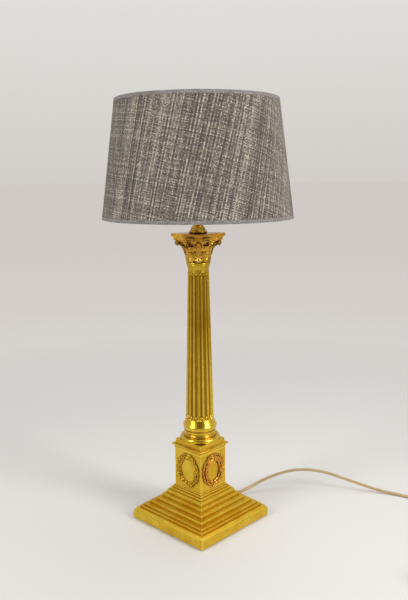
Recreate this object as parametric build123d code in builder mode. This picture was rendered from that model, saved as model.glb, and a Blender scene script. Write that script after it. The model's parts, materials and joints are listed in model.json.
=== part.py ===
"""Column table lamp: a fluted column on a stepped square base, with a tapered fabric shade.

Millimetres, +Z up. The origin is the middle of the base's underside, the base's sides lie along X and Y,
and the cord leaves the middle of the +Y side.
"""

import os
from math import atan2, cos, degrees, hypot, pi, radians, sin, sqrt, tan

from build123d import *

# ---------------------------------------------------------------- driving dimensions

# general
fit = 0.3  # gap between bodies that move apart
slip = 0.15  # gap between pieces of one body that slide together
wall = 4.0  # cast brass walls

# base
felt_thickness = 1.5
felt_inset = 1.5
base_side = 188.0
cover_thickness = 1.5
# each moulding: going from the edge below, inward lean of its face, rise, rounding of its top edge
base_mouldings = (
    (0.0, 0.0, 16.0, 2.0),
    (1.5, 3.5, 5.3, 0.0),
    (4.2, 0.0, 4.0, 1.2),
    (5.2, 0.0, 4.5, 1.5),
    (8.4, 0.0, 7.0, 4.0),
    (9.3, 0.0, 6.7, 4.0),
    (8.2, 0.0, 6.9, 2.0),
    (6.2, 0.0, 8.2, 4.0),
    (4.8, 0.0, 3.7, 1.2),
    (3.7, 0.0, 3.5, 1.2),
    (2.5, 0.0, 2.7, 0.4),
)
post_radius = 5.0
post_inset = 7.5  # of a screw post's axis from the inside of the base's wall
post_screw_radius = 1.5
post_screw_length = 9.0
post_screw_head_radius = 3.0

# pedestal
die_side = 69.0
die_height = 75.0
cornice_height = 12.0
cornice_flare = 5.8  # of the sharp edge past the die's face
cornice_edge_height = 8.3
cornice_edge_thickness = 0.7
cornice_lip = 0.8  # of the fillet at its foot past the die's face
cornice_lip_height = 1.4
cornice_hollow_start = 0.2  # of the hollow's foot past the die's face
cornice_hollow_height = 2.2  # of the hollow's foot
cornice_hollow_depth = 0.8
cornice_hollow_share = 0.3  # of the flare, where the hollow is deepest
cornice_shelf = 0.5  # of the top past the tile
cornice_slope_going = 2.2  # of the steep end of the sloping top
cornice_slope_rise = 1.6
spigot_height = 3.0
tile_side = 67.0
tile_height = 7.0
tile_bevel = 0.8

# wreaths on the die
wreath_width = 61.0
wreath_height = 68.0
wreath_band = 12.0
wreath_drop = 0.5  # of its middle below the die's middle
wreath_thickness = 2.4
leaf_pairs = 11
leaf_length = 13.0
leaf_width = 6.0
leaf_thickness = 4.2
leaf_splay = 24.0  # degrees off the band's line
tie_radius = 3.6
tie_rise = 0.6  # of the tie past the leaves
wreath_pin_radius = 1.5
wreath_pin_head_radius = 3.0
wreath_pin_head_height = 1.2

# round base of the column
lower_torus_radius = 38.4
lower_torus_foot_inset = 2.0  # of its foot from its widest
lower_torus_head_inset = 3.4
lower_torus_height = 9.0
lower_fillet_radius = 31.4
lower_fillet_height = 2.0
scotia_radius = 28.6
scotia_depth = 1.2
scotia_height = 5.0
upper_fillet_radius = 30.0
upper_fillet_height = 3.0
groove_depth = 0.7
groove_height = 1.2
upper_torus_radius = 31.6
upper_torus_head_inset = 0.2
upper_torus_swell = 2.2
upper_torus_height = 8.1
neck_lip_height = 1.2
neck_start_radius = 32.3
neck_hollow = 0.3
attic_height = 42.0
attic_wall = 6.0

# shaft
shaft_foot_radius = 26.9
shaft_start_radius = 26.8
shaft_top_radius = 19.5
shaft_flare_radius = 20.4
shaft_flare_height = 4.5
shaft_flare_inset = 0.6  # of the flare's middle from its edge
shaft_flare_drop = 1.6  # of the flare's middle below its edge
shaft_height = 292.0
shaft_foot_height = 3.0
shaft_wall = 6.5
flute_count = 16
flute_turn = -39.3  # degrees of the first flute, about +Z from +X
flute_share = 0.87  # of the pitch that a flute takes
flute_depth_share = 0.28  # of a flute's width
flute_foot_gap = 1.0  # of the flutes' ends above the shaft's foot
flute_head_gap = 8.5
bead_share = 0.4  # of a flute's width, as the bead's radius
bead_rise = 0.6  # of the bead past the shaft's surface

# astragal and capital
astragal_radius = 22.9
astragal_height = 10.8
# inset from the astragal's radius and height above its foot, of its neck's start, middle and end,
# of its round edge's start and middle
astragal_profile = ((2.1, 0.8), (1.9, 3.1), (1.5, 4.8), (1.6, 5.2), (0.0, 8.0))
capital_height = 40.2
bell_foot_radius = 20.9
bell_swell = 1.4  # of its middle past its foot
bell_top_radius = 29.0
bell_band = 2.0  # upright band at its top
bell_wall = 7.0
lower_leaf_height = 19.0
lower_leaf_reach = 27.0
upper_leaf_height = 29.5
upper_leaf_reach = 30.5
capital_leaf_width = 15.0
capital_leaf_foot_share = 0.8  # of its width
capital_leaf_widest_share = 0.55  # of its height
leaf_root_depth = 2.0  # of a leaf's root inside the bell
leaf_foot_rise = 1.2  # of its foot past the bell
leaf_belly_rise = 1.6
leaf_belly_share = 0.45  # of its height
# inset from the leaf's reach and drop from its top, along its curled tip
leaf_tip_profile = ((2.4, 5.2), (0.0, 3.0), (1.6, 0.0), (4.4, -0.2))
leaf_back_rise = 3.0  # of its back's end past the root
leaf_back_drop = 3.5
leaf_point = 0.6  # of its outline past its height
volute_radius = 5.4
volute_reach = 43.4  # of the scroll from the axis, along the diagonal
volute_width = 9.0
volute_foot_height = 18.0
volute_stalk = 3.0
volute_bend = (7.8, 5.0)  # of its stalk's curve, in and down from the scroll's middle
volute_neck = (4.8, 1.0)
abacus_height = 12.0
abacus_reach = 49.8  # of the cut corner from the axis, along the diagonal
abacus_corner_width = 14.0
abacus_corner_spread = 1.0  # of the cut corner, from its foot to its top
abacus_hollow = 8.5  # depth of a side's curve
abacus_undercut = 4.8
abacus_band = 3.8  # upright band at the foot and at the top of its edge

# cap and stem under the lampholder
cap_radius = 16.9
cap_height = 17.0
# inset from the cap's radius and height above its foot, from its foot up to its shoulder
cap_profile = ((1.4, 0.0), (0.0, 2.4), (2.6, 5.6), (3.1, 6.2), (3.1, 7.2), (5.2, 11.4))
collar_rise = 1.0  # of the collar past the stem
collar_height = 2.0
stem_radius = 7.0
stem_height = 20.0

# rod through the column
rod_radius = 5.0
rod_bore = 4.0
rod_play = 0.5
rod_below = 16.0  # under the base's top plate
rod_into_holder = 8.0
clamp_side = 50.0
clamp_thickness = 3.0
tag_thickness = 0.8
tag_rim = 4.5
tag_length = 15.0  # of its tongue's end past the rod
tag_width = 5.0
tag_hole_radius = 1.2
tag_hole_inset = 2.5
nut_flats = 17.0
nut_height = 7.0
nut_bevel = 0.6

# lampholder
holder_radius = 19.75
holder_foot_radius = 8.5
holder_cap_height = 18.0
holder_collar_height = 5.0
holder_shoulder_height = 12.0
holder_shoulder_bend = (3.6, 7.6)  # inset and height of the shoulder's middle
holder_floor_thickness = 6.5
holder_skirt_height = 36.0
holder_wall = 1.5
holder_mouth_radius = 15.6
insert_height = 16.0
terminal_place = 9.0
terminal_radius = 1.8
contact_rise = 2.6
contact_thickness = 0.5
contact_width = 6.0
contact_foot_length = 5.0
contact_slope_start = -3.0
contact_slope_end = 2.5
contact_end = 5.5
contact_skew = 0.3  # of the strip's lower bends from its upper ones
screw_shell_radius = 13.6
screw_shell_wall = 0.6
screw_shell_height = 25.0
screw_shell_lip = 3.0
shade_ring_radius = 28.5
shade_ring_height = 4.5
shade_ring_level = 7.0  # of the lower ring above the skirt's foot

# bulb
bulb_cap_radius = 13.1
bulb_cap_height = 24.0
bulb_radius = 30.0
bulb_length = 108.0
bulb_wall = 0.8
shoulder_dip = 23.0  # degrees below the globe's middle where the neck meets it
bulb_gap = 0.1  # of the bulb's foot above the contact
bulb_tip_radius = 4.8
bulb_tip_height = 0.8
bulb_foot_height = 3.2
insulator_radius = 5.6
bulb_cap_wall = 0.4
bulb_cap_bevel = 3.0
bulb_cap_bevel_height = 2.0
bulb_neck_rise = 1.2  # of the glass neck past the cap
bulb_neck_height = 4.0
bulb_swell = (3.2, 17.0)  # of the shoulder's middle, out and up from the cap's rim
# radius and height of the glass stem's outline above its foot
bulb_stem_profile = ((9.0, 0.0), (5.0, 8.0), (2.4, 12.0), (2.4, 30.0), (0.0, 32.0))
filament_count = 4
filament_length = 30.0
filament_radius = 1.1
filament_place = 8.0
filament_level = 24.0

# shade
shade_bottom_diameter = 350.0
shade_top_diameter = 294.6
shade_height = 212.0
shade_bottom_level = 588.0
cover_wall = 0.8
lining_wall = 0.5
tape_wall = 0.45
tape_height = 7.5
tape_inner_height = 5.5
tape_ease = 0.05
wire_ease = 0.1
wire_lift = 0.3
ring_wire_radius = 1.5
spider_arm_count = 3
spider_arm_turn = 15.0  # degrees of the first arm
spider_arm_level_run = 16.0
spider_arm_bend = 20.0
fitter_thickness = 2.0
fitter_lip = 2.5  # of the fitter ring past the ring nuts

# cord, hand-laid: points in the lamp's own frame
cord_radius = 3.0
floor_gap = 0.05
exit_level = 9.2
bush_flange_radius = 7.0
bush_flange_thickness = 1.5
bush_sleeve_length = 24.0
bush_root_radius = 5.6
bush_tip_radius = 3.7
bush_grip = 1.5  # of the bush past the wall's inside
bore_ease = 0.05
lead_bend = 38.0
least_arc = 30.0
arc_share = 0.45

# inline switch
switch_entry = (350.0, 334.0)
switch_heading = -30.0
switch_length = 62.0
switch_width = 28.0
switch_height = 19.0
switch_end_width = 13.0
switch_wall = 1.8
rocker_length = 17.0
rocker_width = 10.0
rocker_tilt = 8.0
rocker_end_gap = 1.5  # of the window past the rocker's level length, so that it can tilt
rocker_side_gap = 0.5
rocker_pin_radius = 1.2
rocker_pin_play = 0.08
rocker_foot_inset = 2.0
rocker_foot_drop = 3.2
rocker_dish = 1.5
rocker_recess = 0.4
switch_axis_level = 9.6
switch_foot_bevel = 1.2
switch_top_rounding = 3.0
switch_roof = 1.2  # of the roof past the wall's thickness
pivot_rise = 3.6  # of the rocker's pin above the shells' joint
cheek_gap = 0.5
cheek_thickness = 1.4
cheek_width = 6.0
cheek_rise = 1.6  # of the cheeks past the rocker's pin
switch_screw_inset = 9.0
switch_screw_radius = 1.3
switch_boss_radius = 2.6
switch_lead = 20.0  # straight run of cord before the switch
switch_tail = 18.0

# coil of spare cord
coil_centre = (400.0, 225.0)
coil_outer_radius = 41.5
coil_turn_gap = 0.5
coil_half_turns = 5  # wound inwards on the floor before the climb, and one fewer outwards on top

# plug
plug_heading = -76.0
plug_radius = 18.0
plug_body_length = 34.0
plug_relief_length = 22.0
plug_relief_radius = 5.5
plug_pin_radius = 2.4
plug_pin_length = 19.0
plug_pin_spacing = 19.0
plug_clip_width = 6.0
plug_clip_thickness = 1.2
plug_clip_length = 14.0
plug_clip_groove = 2.0  # depth of the groove that a clip lies in
plug_clip_margin = 1.0
plug_relief_tip = 0.9  # of the relief's tip past the cord
plug_relief_spread = 1.0
plug_shoulder_length = 9.0
plug_shoulder_inset = 3.0
plug_grip_length = 16.0
plug_pin_root = 6.0
plug_pin_bevel = 0.8
plug_lift = 0.2
plug_lead = 20.0  # straight run of cord before the plug

os.makedirs("parts", exist_ok=True)


# ---------------------------------------------------------------- helpers


def keep(name, part):
    """Label a finished piece and write it to its own file."""
    part.label = name
    export_step(part, f"parts/{name}.step")


def spun(points):
    """Solid turned about the lamp's axis from a closed outline of (radius, height) points."""
    with BuildPart() as piece:
        with BuildSketch(Plane.XZ):
            with BuildLine():
                Polyline(*points, close=True)
            make_face()
        revolve(axis=Axis.Z)
    return piece.part


def arc_radii(points):
    """Radius at each corner of a cord's route: as large as the shorter run beside it allows."""
    radii = []
    for before, corner, after in zip(points, points[1:], points[2:]):
        run_in = Vector(*corner) - Vector(*before)
        run_out = Vector(*after) - Vector(*corner)
        half_turn = radians(run_in.get_angle(run_out)) / 2
        radii.append(arc_share * min(run_in.length, run_out.length) / tan(half_turn))
    return radii


def cord_tube(name, points):
    """Round cord along straight runs and tangent arcs; prints its radii and checks its volume."""
    radii = arc_radii(points)
    with BuildPart() as piece:
        with BuildLine() as route:
            FilletPolyline(*points, radius=radii)
        with BuildSketch(Plane(origin=points[0], z_dir=Vector(*points[1]) - Vector(*points[0]))):
            Circle(cord_radius)
        sweep()
    length = route.wire().length
    share = piece.part.volume / (pi * cord_radius**2 * length)
    print(f"{name}: length {length:.1f}, volume share {share:.4f}, radii", [round(r) for r in radii])
    if min(radii) < least_arc:
        print(f"{name}: an arc is under {least_arc}")
    return piece.part, length


# ---------------------------------------------------------------- base

base_bottom = felt_thickness

with BuildPart() as felt_pad:
    with BuildSketch(Plane.XY):
        Rectangle(base_side - 2 * felt_inset, base_side - 2 * felt_inset)
    extrude(amount=felt_thickness)
keep("felt_pad", felt_pad.part)

# levels and half widths of the mouldings, from the slab up
moulding_edges = []
level = base_bottom
half = base_side / 2
for going, lean, rise, rounding in base_mouldings:
    foot = half - going
    half = foot - lean
    level = level + rise
    moulding_edges.append((foot, half, level, rounding))
base_top = level
slab_inside = base_side / 2 - wall


def base_half_outline():
    """Lines of the right half of the base's section, from the axis along the foot and up the mouldings."""
    here = (0, base_bottom)
    for foot, edge, top, rounding in moulding_edges:
        Line(here, (foot, here[1]))
        if rounding > 0:
            Line((foot, here[1]), (edge, top - rounding))
            CenterArc((edge - rounding, top - rounding), rounding, 0, 90)
        else:
            Line((foot, here[1]), (edge, top))
        here = (edge - rounding, top)
    Line(here, (0, base_top))


post_place = slab_inside - post_inset
post_bottom = base_bottom + cover_thickness
post_top = moulding_edges[1][2] - wall / 2

with BuildPart() as stepped_base:
    with BuildSketch(Plane.XZ):
        with BuildLine():
            base_half_outline()
            mirror(about=Plane.YZ)
        make_face()
    extrude(amount=base_side, both=True)
    with BuildSketch(Plane.YZ):
        with BuildLine():
            base_half_outline()
            mirror(about=Plane.YZ)
        make_face()
    extrude(amount=base_side, both=True, mode=Mode.INTERSECT)
    for foot, edge, top, rounding in moulding_edges:
        with BuildSketch(Plane.XY.offset(base_bottom)):
            Rectangle(2 * (edge - wall), 2 * (edge - wall))
        extrude(amount=top - wall - base_bottom, mode=Mode.SUBTRACT)
    with BuildSketch(Plane.XY.offset(post_bottom)):
        with GridLocations(2 * post_place, 2 * post_place, 2, 2):
            Circle(post_radius)
    extrude(amount=post_top - post_bottom)
    with BuildSketch(Plane.XY.offset(post_bottom)):
        with GridLocations(2 * post_place, 2 * post_place, 2, 2):
            Circle(post_screw_radius)
    extrude(amount=post_screw_length, mode=Mode.SUBTRACT)
    with BuildSketch(Plane.XY.offset(base_bottom)):
        Circle(rod_radius + rod_play)
    extrude(amount=base_top, mode=Mode.SUBTRACT)
    with BuildSketch(Plane.XZ.offset(-slab_inside - wall - fit)):
        with Locations((0, exit_level)):
            Circle(bush_root_radius)
    extrude(amount=wall + bush_grip + 2 * fit, mode=Mode.SUBTRACT)
keep("stepped_base", stepped_base.part)

with BuildPart() as bottom_cover:
    with BuildSketch(Plane.XY.offset(base_bottom)):
        Rectangle(2 * (slab_inside - fit), 2 * (slab_inside - fit))
    extrude(amount=cover_thickness)
    with Locations((0, 0, base_bottom)):
        with GridLocations(2 * post_place, 2 * post_place, 2, 2):
            Cone(
                post_screw_head_radius + slip,
                post_screw_radius + slip,
                cover_thickness,
                align=(Align.CENTER, Align.CENTER, Align.MIN),
                mode=Mode.SUBTRACT,
            )
keep("bottom_cover", bottom_cover.part)

with BuildPart() as cover_screws:
    with Locations((0, 0, base_bottom)):
        with GridLocations(2 * post_place, 2 * post_place, 2, 2):
            Cone(
                post_screw_head_radius,
                post_screw_radius,
                cover_thickness,
                align=(Align.CENTER, Align.CENTER, Align.MIN),
            )
    with Locations((0, 0, post_bottom)):
        with GridLocations(2 * post_place, 2 * post_place, 2, 2):
            Cylinder(
                post_screw_radius,
                post_screw_length - slip,
                align=(Align.CENTER, Align.CENTER, Align.MIN),
            )
keep("cover_screws", cover_screws.part)

# ---------------------------------------------------------------- pedestal

die_bottom = base_top
die_top = die_bottom + die_height
die_middle = (die_bottom + die_top) / 2 - wreath_drop
die_face = die_side / 2
die_inside = die_face - wall
pin_place = (wreath_height - wreath_band) / 2  # of the two pins above and below the wreath's middle

faces = {"front": -90, "right": 0, "back": 90, "left": 180}


def face_plane(turn, distance):
    """Plane on one side of the die, looking outwards, at a distance from the axis."""
    outwards = Vector(cos(radians(turn)), sin(radians(turn)), 0)
    sideways = Vector(-sin(radians(turn)), cos(radians(turn)), 0)
    return Plane(origin=outwards * distance + Vector(0, 0, die_middle), x_dir=sideways, z_dir=outwards)


with BuildPart() as pedestal_die:
    with BuildSketch(Plane.XY.offset(die_bottom)):
        Rectangle(die_side, die_side)
        Rectangle(2 * die_inside, 2 * die_inside, mode=Mode.SUBTRACT)
    extrude(amount=die_height)
    for turn in faces.values():
        with BuildSketch(face_plane(turn, die_inside - fit)):
            with Locations((0, pin_place), (0, -pin_place)):
                Circle(wreath_pin_radius + slip)
        extrude(amount=wall + 2 * fit, mode=Mode.SUBTRACT)
keep("pedestal_die", pedestal_die.part)

cornice_bottom = die_top
cornice_top = cornice_bottom + cornice_height
cornice_edge = die_face + cornice_flare
edge_level = cornice_bottom + cornice_edge_height


def cornice_half_outline():
    """Lines of the right half of the cornice's section: fillet, hollow, sharp edge and sloping top."""
    lip = die_face + cornice_lip
    lip_top = cornice_bottom + cornice_lip_height
    hollow_foot = die_face + cornice_hollow_start
    hollow_low = cornice_bottom + cornice_hollow_height
    hollow_middle = (
        hollow_foot + cornice_hollow_share * cornice_flare,
        (hollow_low + edge_level) / 2 + cornice_hollow_depth,
    )
    shelf = tile_side / 2 + cornice_shelf
    Polyline((0, cornice_bottom), (lip, cornice_bottom), (lip, lip_top), (hollow_foot, hollow_low))
    ThreePointArc((hollow_foot, hollow_low), hollow_middle, (cornice_edge, edge_level))
    Polyline(
        (cornice_edge, edge_level),
        (cornice_edge, edge_level + cornice_edge_thickness),
        (shelf + cornice_slope_going, cornice_top - cornice_slope_rise),
        (shelf, cornice_top),
        (0, cornice_top),
    )


with BuildPart() as pedestal_cornice:
    with BuildSketch(Plane.XZ):
        with BuildLine():
            cornice_half_outline()
            mirror(about=Plane.YZ)
        make_face()
    extrude(amount=base_side, both=True)
    with BuildSketch(Plane.YZ):
        with BuildLine():
            cornice_half_outline()
            mirror(about=Plane.YZ)
        make_face()
    extrude(amount=base_side, both=True, mode=Mode.INTERSECT)
    with BuildSketch(Plane.XY.offset(cornice_bottom)):
        Rectangle(2 * (die_inside - slip), 2 * (die_inside - slip))
        Rectangle(2 * (die_inside - wall), 2 * (die_inside - wall), mode=Mode.SUBTRACT)
    extrude(amount=-spigot_height)
    with BuildSketch(Plane.XY.offset(cornice_bottom)):
        Circle(rod_radius + rod_play)
    extrude(amount=cornice_height, mode=Mode.SUBTRACT)
keep("pedestal_cornice", pedestal_cornice.part)

tile_bottom = cornice_top
tile_top = tile_bottom + tile_height

with BuildPart() as plinth_tile:
    with BuildSketch(Plane.XY.offset(tile_bottom)):
        Rectangle(tile_side, tile_side)
        Circle(rod_radius + rod_play, mode=Mode.SUBTRACT)
    extrude(amount=tile_height)
    chamfer(plinth_tile.faces().sort_by(Axis.Z)[-1].outer_wire().edges(), length=tile_bevel)
keep("plinth_tile", plinth_tile.part)


# ---------------------------------------------------------------- wreaths


def wreath(turn):
    """Oval band with crossing pairs of leaves and a round tie at the foot, lying on one side of the die."""
    band_x = (wreath_width - wreath_band) / 2
    band_y = (wreath_height - wreath_band) / 2
    ring_half = wreath_band / 4
    with BuildPart() as piece:
        with BuildSketch(face_plane(turn, die_face)):
            Ellipse(band_x + ring_half, band_y + ring_half)
            Ellipse(band_x - ring_half, band_y - ring_half, mode=Mode.SUBTRACT)
        extrude(amount=wreath_thickness)
        with BuildSketch(face_plane(turn, die_face)):
            for index in range(leaf_pairs):
                for side in (-1, 1):
                    around = radians(-90 + side * (index + 0.5) * 180 / leaf_pairs)
                    along = degrees(atan2(band_y * cos(around), -band_x * sin(around)))
                    heading = along if side > 0 else along + 180
                    for splay in (-leaf_splay, leaf_splay):
                        place = Location((band_x * cos(around), band_y * sin(around)), heading + splay)
                        with Locations(place):
                            with Locations((leaf_length / 4, 0)):
                                Ellipse(leaf_length / 2, leaf_width / 2)
        extrude(amount=leaf_thickness)
        with BuildSketch(face_plane(turn, die_face)):
            with Locations((0, -band_y)):
                Circle(tie_radius)
        extrude(amount=leaf_thickness + tie_rise)
    return piece.part


for side_name, side_turn in faces.items():
    keep(f"wreath_{side_name}", wreath(side_turn))

with BuildPart() as wreath_pins:
    for turn in faces.values():
        with BuildSketch(face_plane(turn, die_inside)):
            with Locations((0, pin_place), (0, -pin_place)):
                Circle(wreath_pin_radius)
        extrude(amount=wall)
        with BuildSketch(face_plane(turn, die_inside)):
            with Locations((0, pin_place), (0, -pin_place)):
                Circle(wreath_pin_head_radius)
        extrude(amount=-wreath_pin_head_height)
keep("wreath_pins", wreath_pins.part)

# ---------------------------------------------------------------- round base of the column

attic_bottom = tile_top
attic_top = attic_bottom + attic_height
torus_foot = (lower_torus_radius - lower_torus_foot_inset, attic_bottom)
torus_head = (lower_torus_radius - lower_torus_head_inset, attic_bottom + lower_torus_height)
lower_fillet_top = torus_head[1] + lower_fillet_height
scotia_top = lower_fillet_top + scotia_height
upper_fillet_top = scotia_top + upper_fillet_height
groove_radius = upper_fillet_radius - groove_depth
upper_torus_bottom = upper_fillet_top + groove_height
upper_torus_top = upper_torus_bottom + upper_torus_height
neck_bottom = upper_torus_top + neck_lip_height
neck_middle = (
    (neck_start_radius + shaft_foot_radius) / 2 - neck_hollow,
    (neck_bottom + attic_top) / 2,
)
attic_bore = shaft_foot_radius - attic_wall
spigot_radius = shaft_foot_radius - shaft_wall - fit - slip

with BuildPart() as attic_base:
    with BuildSketch(Plane.XZ):
        with BuildLine():
            Line((0, attic_bottom), torus_foot)
            ThreePointArc(
                torus_foot,
                (lower_torus_radius, attic_bottom + lower_torus_height / 2),
                torus_head,
            )
            Polyline(
                torus_head,
                (lower_fillet_radius, torus_head[1]),
                (lower_fillet_radius, lower_fillet_top),
                (scotia_radius + scotia_depth, lower_fillet_top),
            )
            ThreePointArc(
                (scotia_radius + scotia_depth, lower_fillet_top),
                (scotia_radius, (lower_fillet_top + scotia_top) / 2),
                (scotia_radius + scotia_depth, scotia_top),
            )
            Polyline(
                (scotia_radius + scotia_depth, scotia_top),
                (upper_fillet_radius, scotia_top),
                (upper_fillet_radius, upper_fillet_top),
                (groove_radius, upper_fillet_top),
                (groove_radius, upper_torus_bottom),
                (upper_torus_radius - upper_torus_swell, upper_torus_bottom),
            )
            ThreePointArc(
                (upper_torus_radius - upper_torus_swell, upper_torus_bottom),
                (upper_torus_radius, (upper_torus_bottom + upper_torus_top) / 2),
                (upper_torus_radius - upper_torus_head_inset, upper_torus_top),
            )
            Polyline(
                (upper_torus_radius - upper_torus_head_inset, upper_torus_top),
                (neck_start_radius, upper_torus_top),
                (neck_start_radius, neck_bottom),
            )
            ThreePointArc(
                (neck_start_radius, neck_bottom),
                neck_middle,
                (shaft_foot_radius, attic_top),
            )
            Polyline((shaft_foot_radius, attic_top), (0, attic_top), (0, attic_bottom))
        make_face()
    revolve(axis=Axis.Z)
    with BuildSketch(Plane.XY.offset(attic_bottom)):
        Circle(attic_bore)
    extrude(amount=attic_height - wall, mode=Mode.SUBTRACT)
    with BuildSketch(Plane.XY.offset(attic_top)):
        Circle(spigot_radius)
    extrude(amount=spigot_height)
    with BuildSketch(Plane.XY.offset(attic_bottom)):
        Circle(rod_radius + rod_play)
    extrude(amount=attic_height + spigot_height, mode=Mode.SUBTRACT)
keep("attic_base", attic_base.part)

# ---------------------------------------------------------------- fluted shaft

shaft_bottom = attic_top
shaft_top = shaft_bottom + shaft_height
straight_bottom = shaft_bottom + shaft_foot_height
taper = (shaft_start_radius - shaft_top_radius) / (shaft_top - straight_bottom)


def shaft_radius(height):
    """Radius of the plain shaft at a height on its straight taper."""
    return shaft_start_radius - taper * (height - straight_bottom)


def flute_width(height):
    """Width of a flute where the shaft has its radius at a height."""
    return flute_share * 2 * pi * shaft_radius(height) / flute_count


def flute_cutter_radius(height):
    """Radius of the round cutter that leaves a flute of the wanted width and depth."""
    width = flute_width(height)
    depth = flute_depth_share * width
    return (width**2 / 4 + depth**2) / (2 * depth)


def flute_cutter_reach(height):
    """Distance of the cutter's middle from the shaft's axis."""
    return shaft_radius(height) + flute_cutter_radius(height) - flute_depth_share * flute_width(height)


flute_low = shaft_bottom + flute_foot_gap + flute_width(straight_bottom) / 2
flute_high = shaft_top - flute_head_gap - flute_width(shaft_top) / 2

flute_foot = Vector(flute_cutter_reach(flute_low), 0, flute_low)
flute_head = Vector(flute_cutter_reach(flute_high), 0, flute_high)
flute_length = (flute_head - flute_foot).length
foot_cutter = flute_cutter_radius(flute_low)
head_cutter = flute_cutter_radius(flute_high)
flare_foot = (shaft_radius(shaft_top - shaft_flare_height), shaft_top - shaft_flare_height)
flare_edge = (shaft_flare_radius, shaft_top)

with BuildPart() as flute_cutter:
    with BuildSketch(Plane(origin=flute_foot, x_dir=flute_head - flute_foot, z_dir=(0, 1, 0))):
        with BuildLine():
            Line((-foot_cutter, 0), (flute_length + head_cutter, 0))
            CenterArc((flute_length, 0), head_cutter, 0, 90)
            Line((flute_length, head_cutter), (0, foot_cutter))
            CenterArc((0, 0), foot_cutter, 90, 90)
        make_face()
    revolve(axis=Axis(flute_foot, flute_head - flute_foot))

with BuildPart() as flute_bead:
    for height in (flute_low, flute_high):
        radius = bead_share * flute_width(height)
        with Locations((shaft_radius(height) + bead_rise - radius, 0, height)):
            Sphere(radius)

with BuildPart() as column_shaft:
    with BuildSketch(Plane.XZ):
        with BuildLine():
            Polyline(
                (shaft_foot_radius - shaft_wall, shaft_bottom),
                (shaft_foot_radius, shaft_bottom),
                (shaft_start_radius, straight_bottom),
                flare_foot,
            )
            ThreePointArc(
                flare_foot,
                (shaft_flare_radius - shaft_flare_inset, shaft_top - shaft_flare_drop),
                flare_edge,
            )
            Polyline(
                flare_edge,
                (shaft_top_radius - shaft_wall, shaft_top),
                (shaft_foot_radius - shaft_wall, shaft_bottom),
            )
        make_face()
    revolve(axis=Axis.Z)
    for index in range(flute_count):
        turn = flute_turn + index * 360 / flute_count
        add(flute_cutter.part, rotation=(0, 0, turn), mode=Mode.SUBTRACT)
    for index in range(flute_count):
        turn = flute_turn + index * 360 / flute_count
        add(flute_bead.part, rotation=(0, 0, turn))
keep("column_shaft", column_shaft.part)

# ---------------------------------------------------------------- astragal and capital

astragal_bottom = shaft_top
astragal_top = astragal_bottom + astragal_height

astragal_points = [
    (astragal_radius - inset, astragal_bottom + height) for inset, height in astragal_profile
]
neck_start, neck_bend, neck_end, bead_start, bead_middle = astragal_points
bead_end = (bead_start[0], astragal_top)

with BuildPart() as astragal:
    with BuildSketch(Plane.XZ):
        with BuildLine():
            Polyline(
                (rod_radius + rod_play, astragal_bottom),
                (shaft_flare_radius, astragal_bottom),
                neck_start,
            )
            ThreePointArc(neck_start, neck_bend, neck_end)
            Line(neck_end, bead_start)
            ThreePointArc(bead_start, bead_middle, bead_end)
            Polyline(
                bead_end,
                (rod_radius + rod_play, astragal_top),
                (rod_radius + rod_play, astragal_bottom),
            )
        make_face()
    revolve(axis=Axis.Z)
keep("astragal", astragal.part)

capital_bottom = astragal_top
capital_top = capital_bottom + capital_height
leaf_half = capital_leaf_width / 2


def capital_leaf(height, reach):
    """Leaf of the capital on the +X side: rises along the bell, curls out and drops its tip."""
    top = capital_bottom + height
    root = bell_foot_radius - leaf_root_depth
    foot = bell_foot_radius + leaf_foot_rise
    belly = (bell_foot_radius + leaf_belly_rise, capital_bottom + height * leaf_belly_share)
    curl, nose, lip, crest = [(reach - inset, top - drop) for inset, drop in leaf_tip_profile]
    back = (root + leaf_back_rise, top - leaf_back_drop)
    foot_half = leaf_half * capital_leaf_foot_share
    widest = capital_bottom + height * capital_leaf_widest_share
    point = (0, top + leaf_point)
    with BuildPart() as leaf:
        with BuildSketch(Plane.XZ):
            with BuildLine():
                Line((root, capital_bottom), (foot, capital_bottom))
                ThreePointArc((foot, capital_bottom), belly, curl)
                ThreePointArc(curl, nose, lip)
                ThreePointArc(lip, crest, back)
                Line(back, (root, capital_bottom))
            make_face()
        extrude(amount=leaf_half, both=True)
        with BuildSketch(Plane.YZ):
            with BuildLine():
                Line((-foot_half, capital_bottom), (foot_half, capital_bottom))
                ThreePointArc((foot_half, capital_bottom), (leaf_half, widest), point)
                ThreePointArc(point, (-leaf_half, widest), (-foot_half, capital_bottom))
            make_face()
        extrude(amount=2 * reach, both=True, mode=Mode.INTERSECT)
    return leaf.part


lower_leaf = capital_leaf(lower_leaf_height, lower_leaf_reach)
upper_leaf = capital_leaf(upper_leaf_height, upper_leaf_reach)

scroll = volute_reach - volute_radius
scroll_level = capital_top - volute_radius
stalk_foot = capital_bottom + volute_foot_height
stalk_edge = (bell_foot_radius + volute_stalk, stalk_foot)
stalk_bend = (scroll - volute_bend[0], scroll_level - volute_bend[1])
stalk_neck = (scroll - volute_neck[0], scroll_level - volute_neck[1])

with BuildPart() as volute:
    with BuildSketch(Plane.XZ):
        with BuildLine():
            Line((bell_foot_radius, stalk_foot), stalk_edge)
            ThreePointArc(stalk_edge, stalk_bend, stalk_neck)
            Polyline(
                stalk_neck,
                (scroll, scroll_level),
                (scroll, capital_top),
                (bell_foot_radius, capital_top),
                (bell_foot_radius, stalk_foot),
            )
        make_face()
        with Locations((scroll, scroll_level)):
            Circle(volute_radius)
    extrude(amount=volute_width / 2, both=True)

bell_top = capital_top - bell_band

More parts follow.
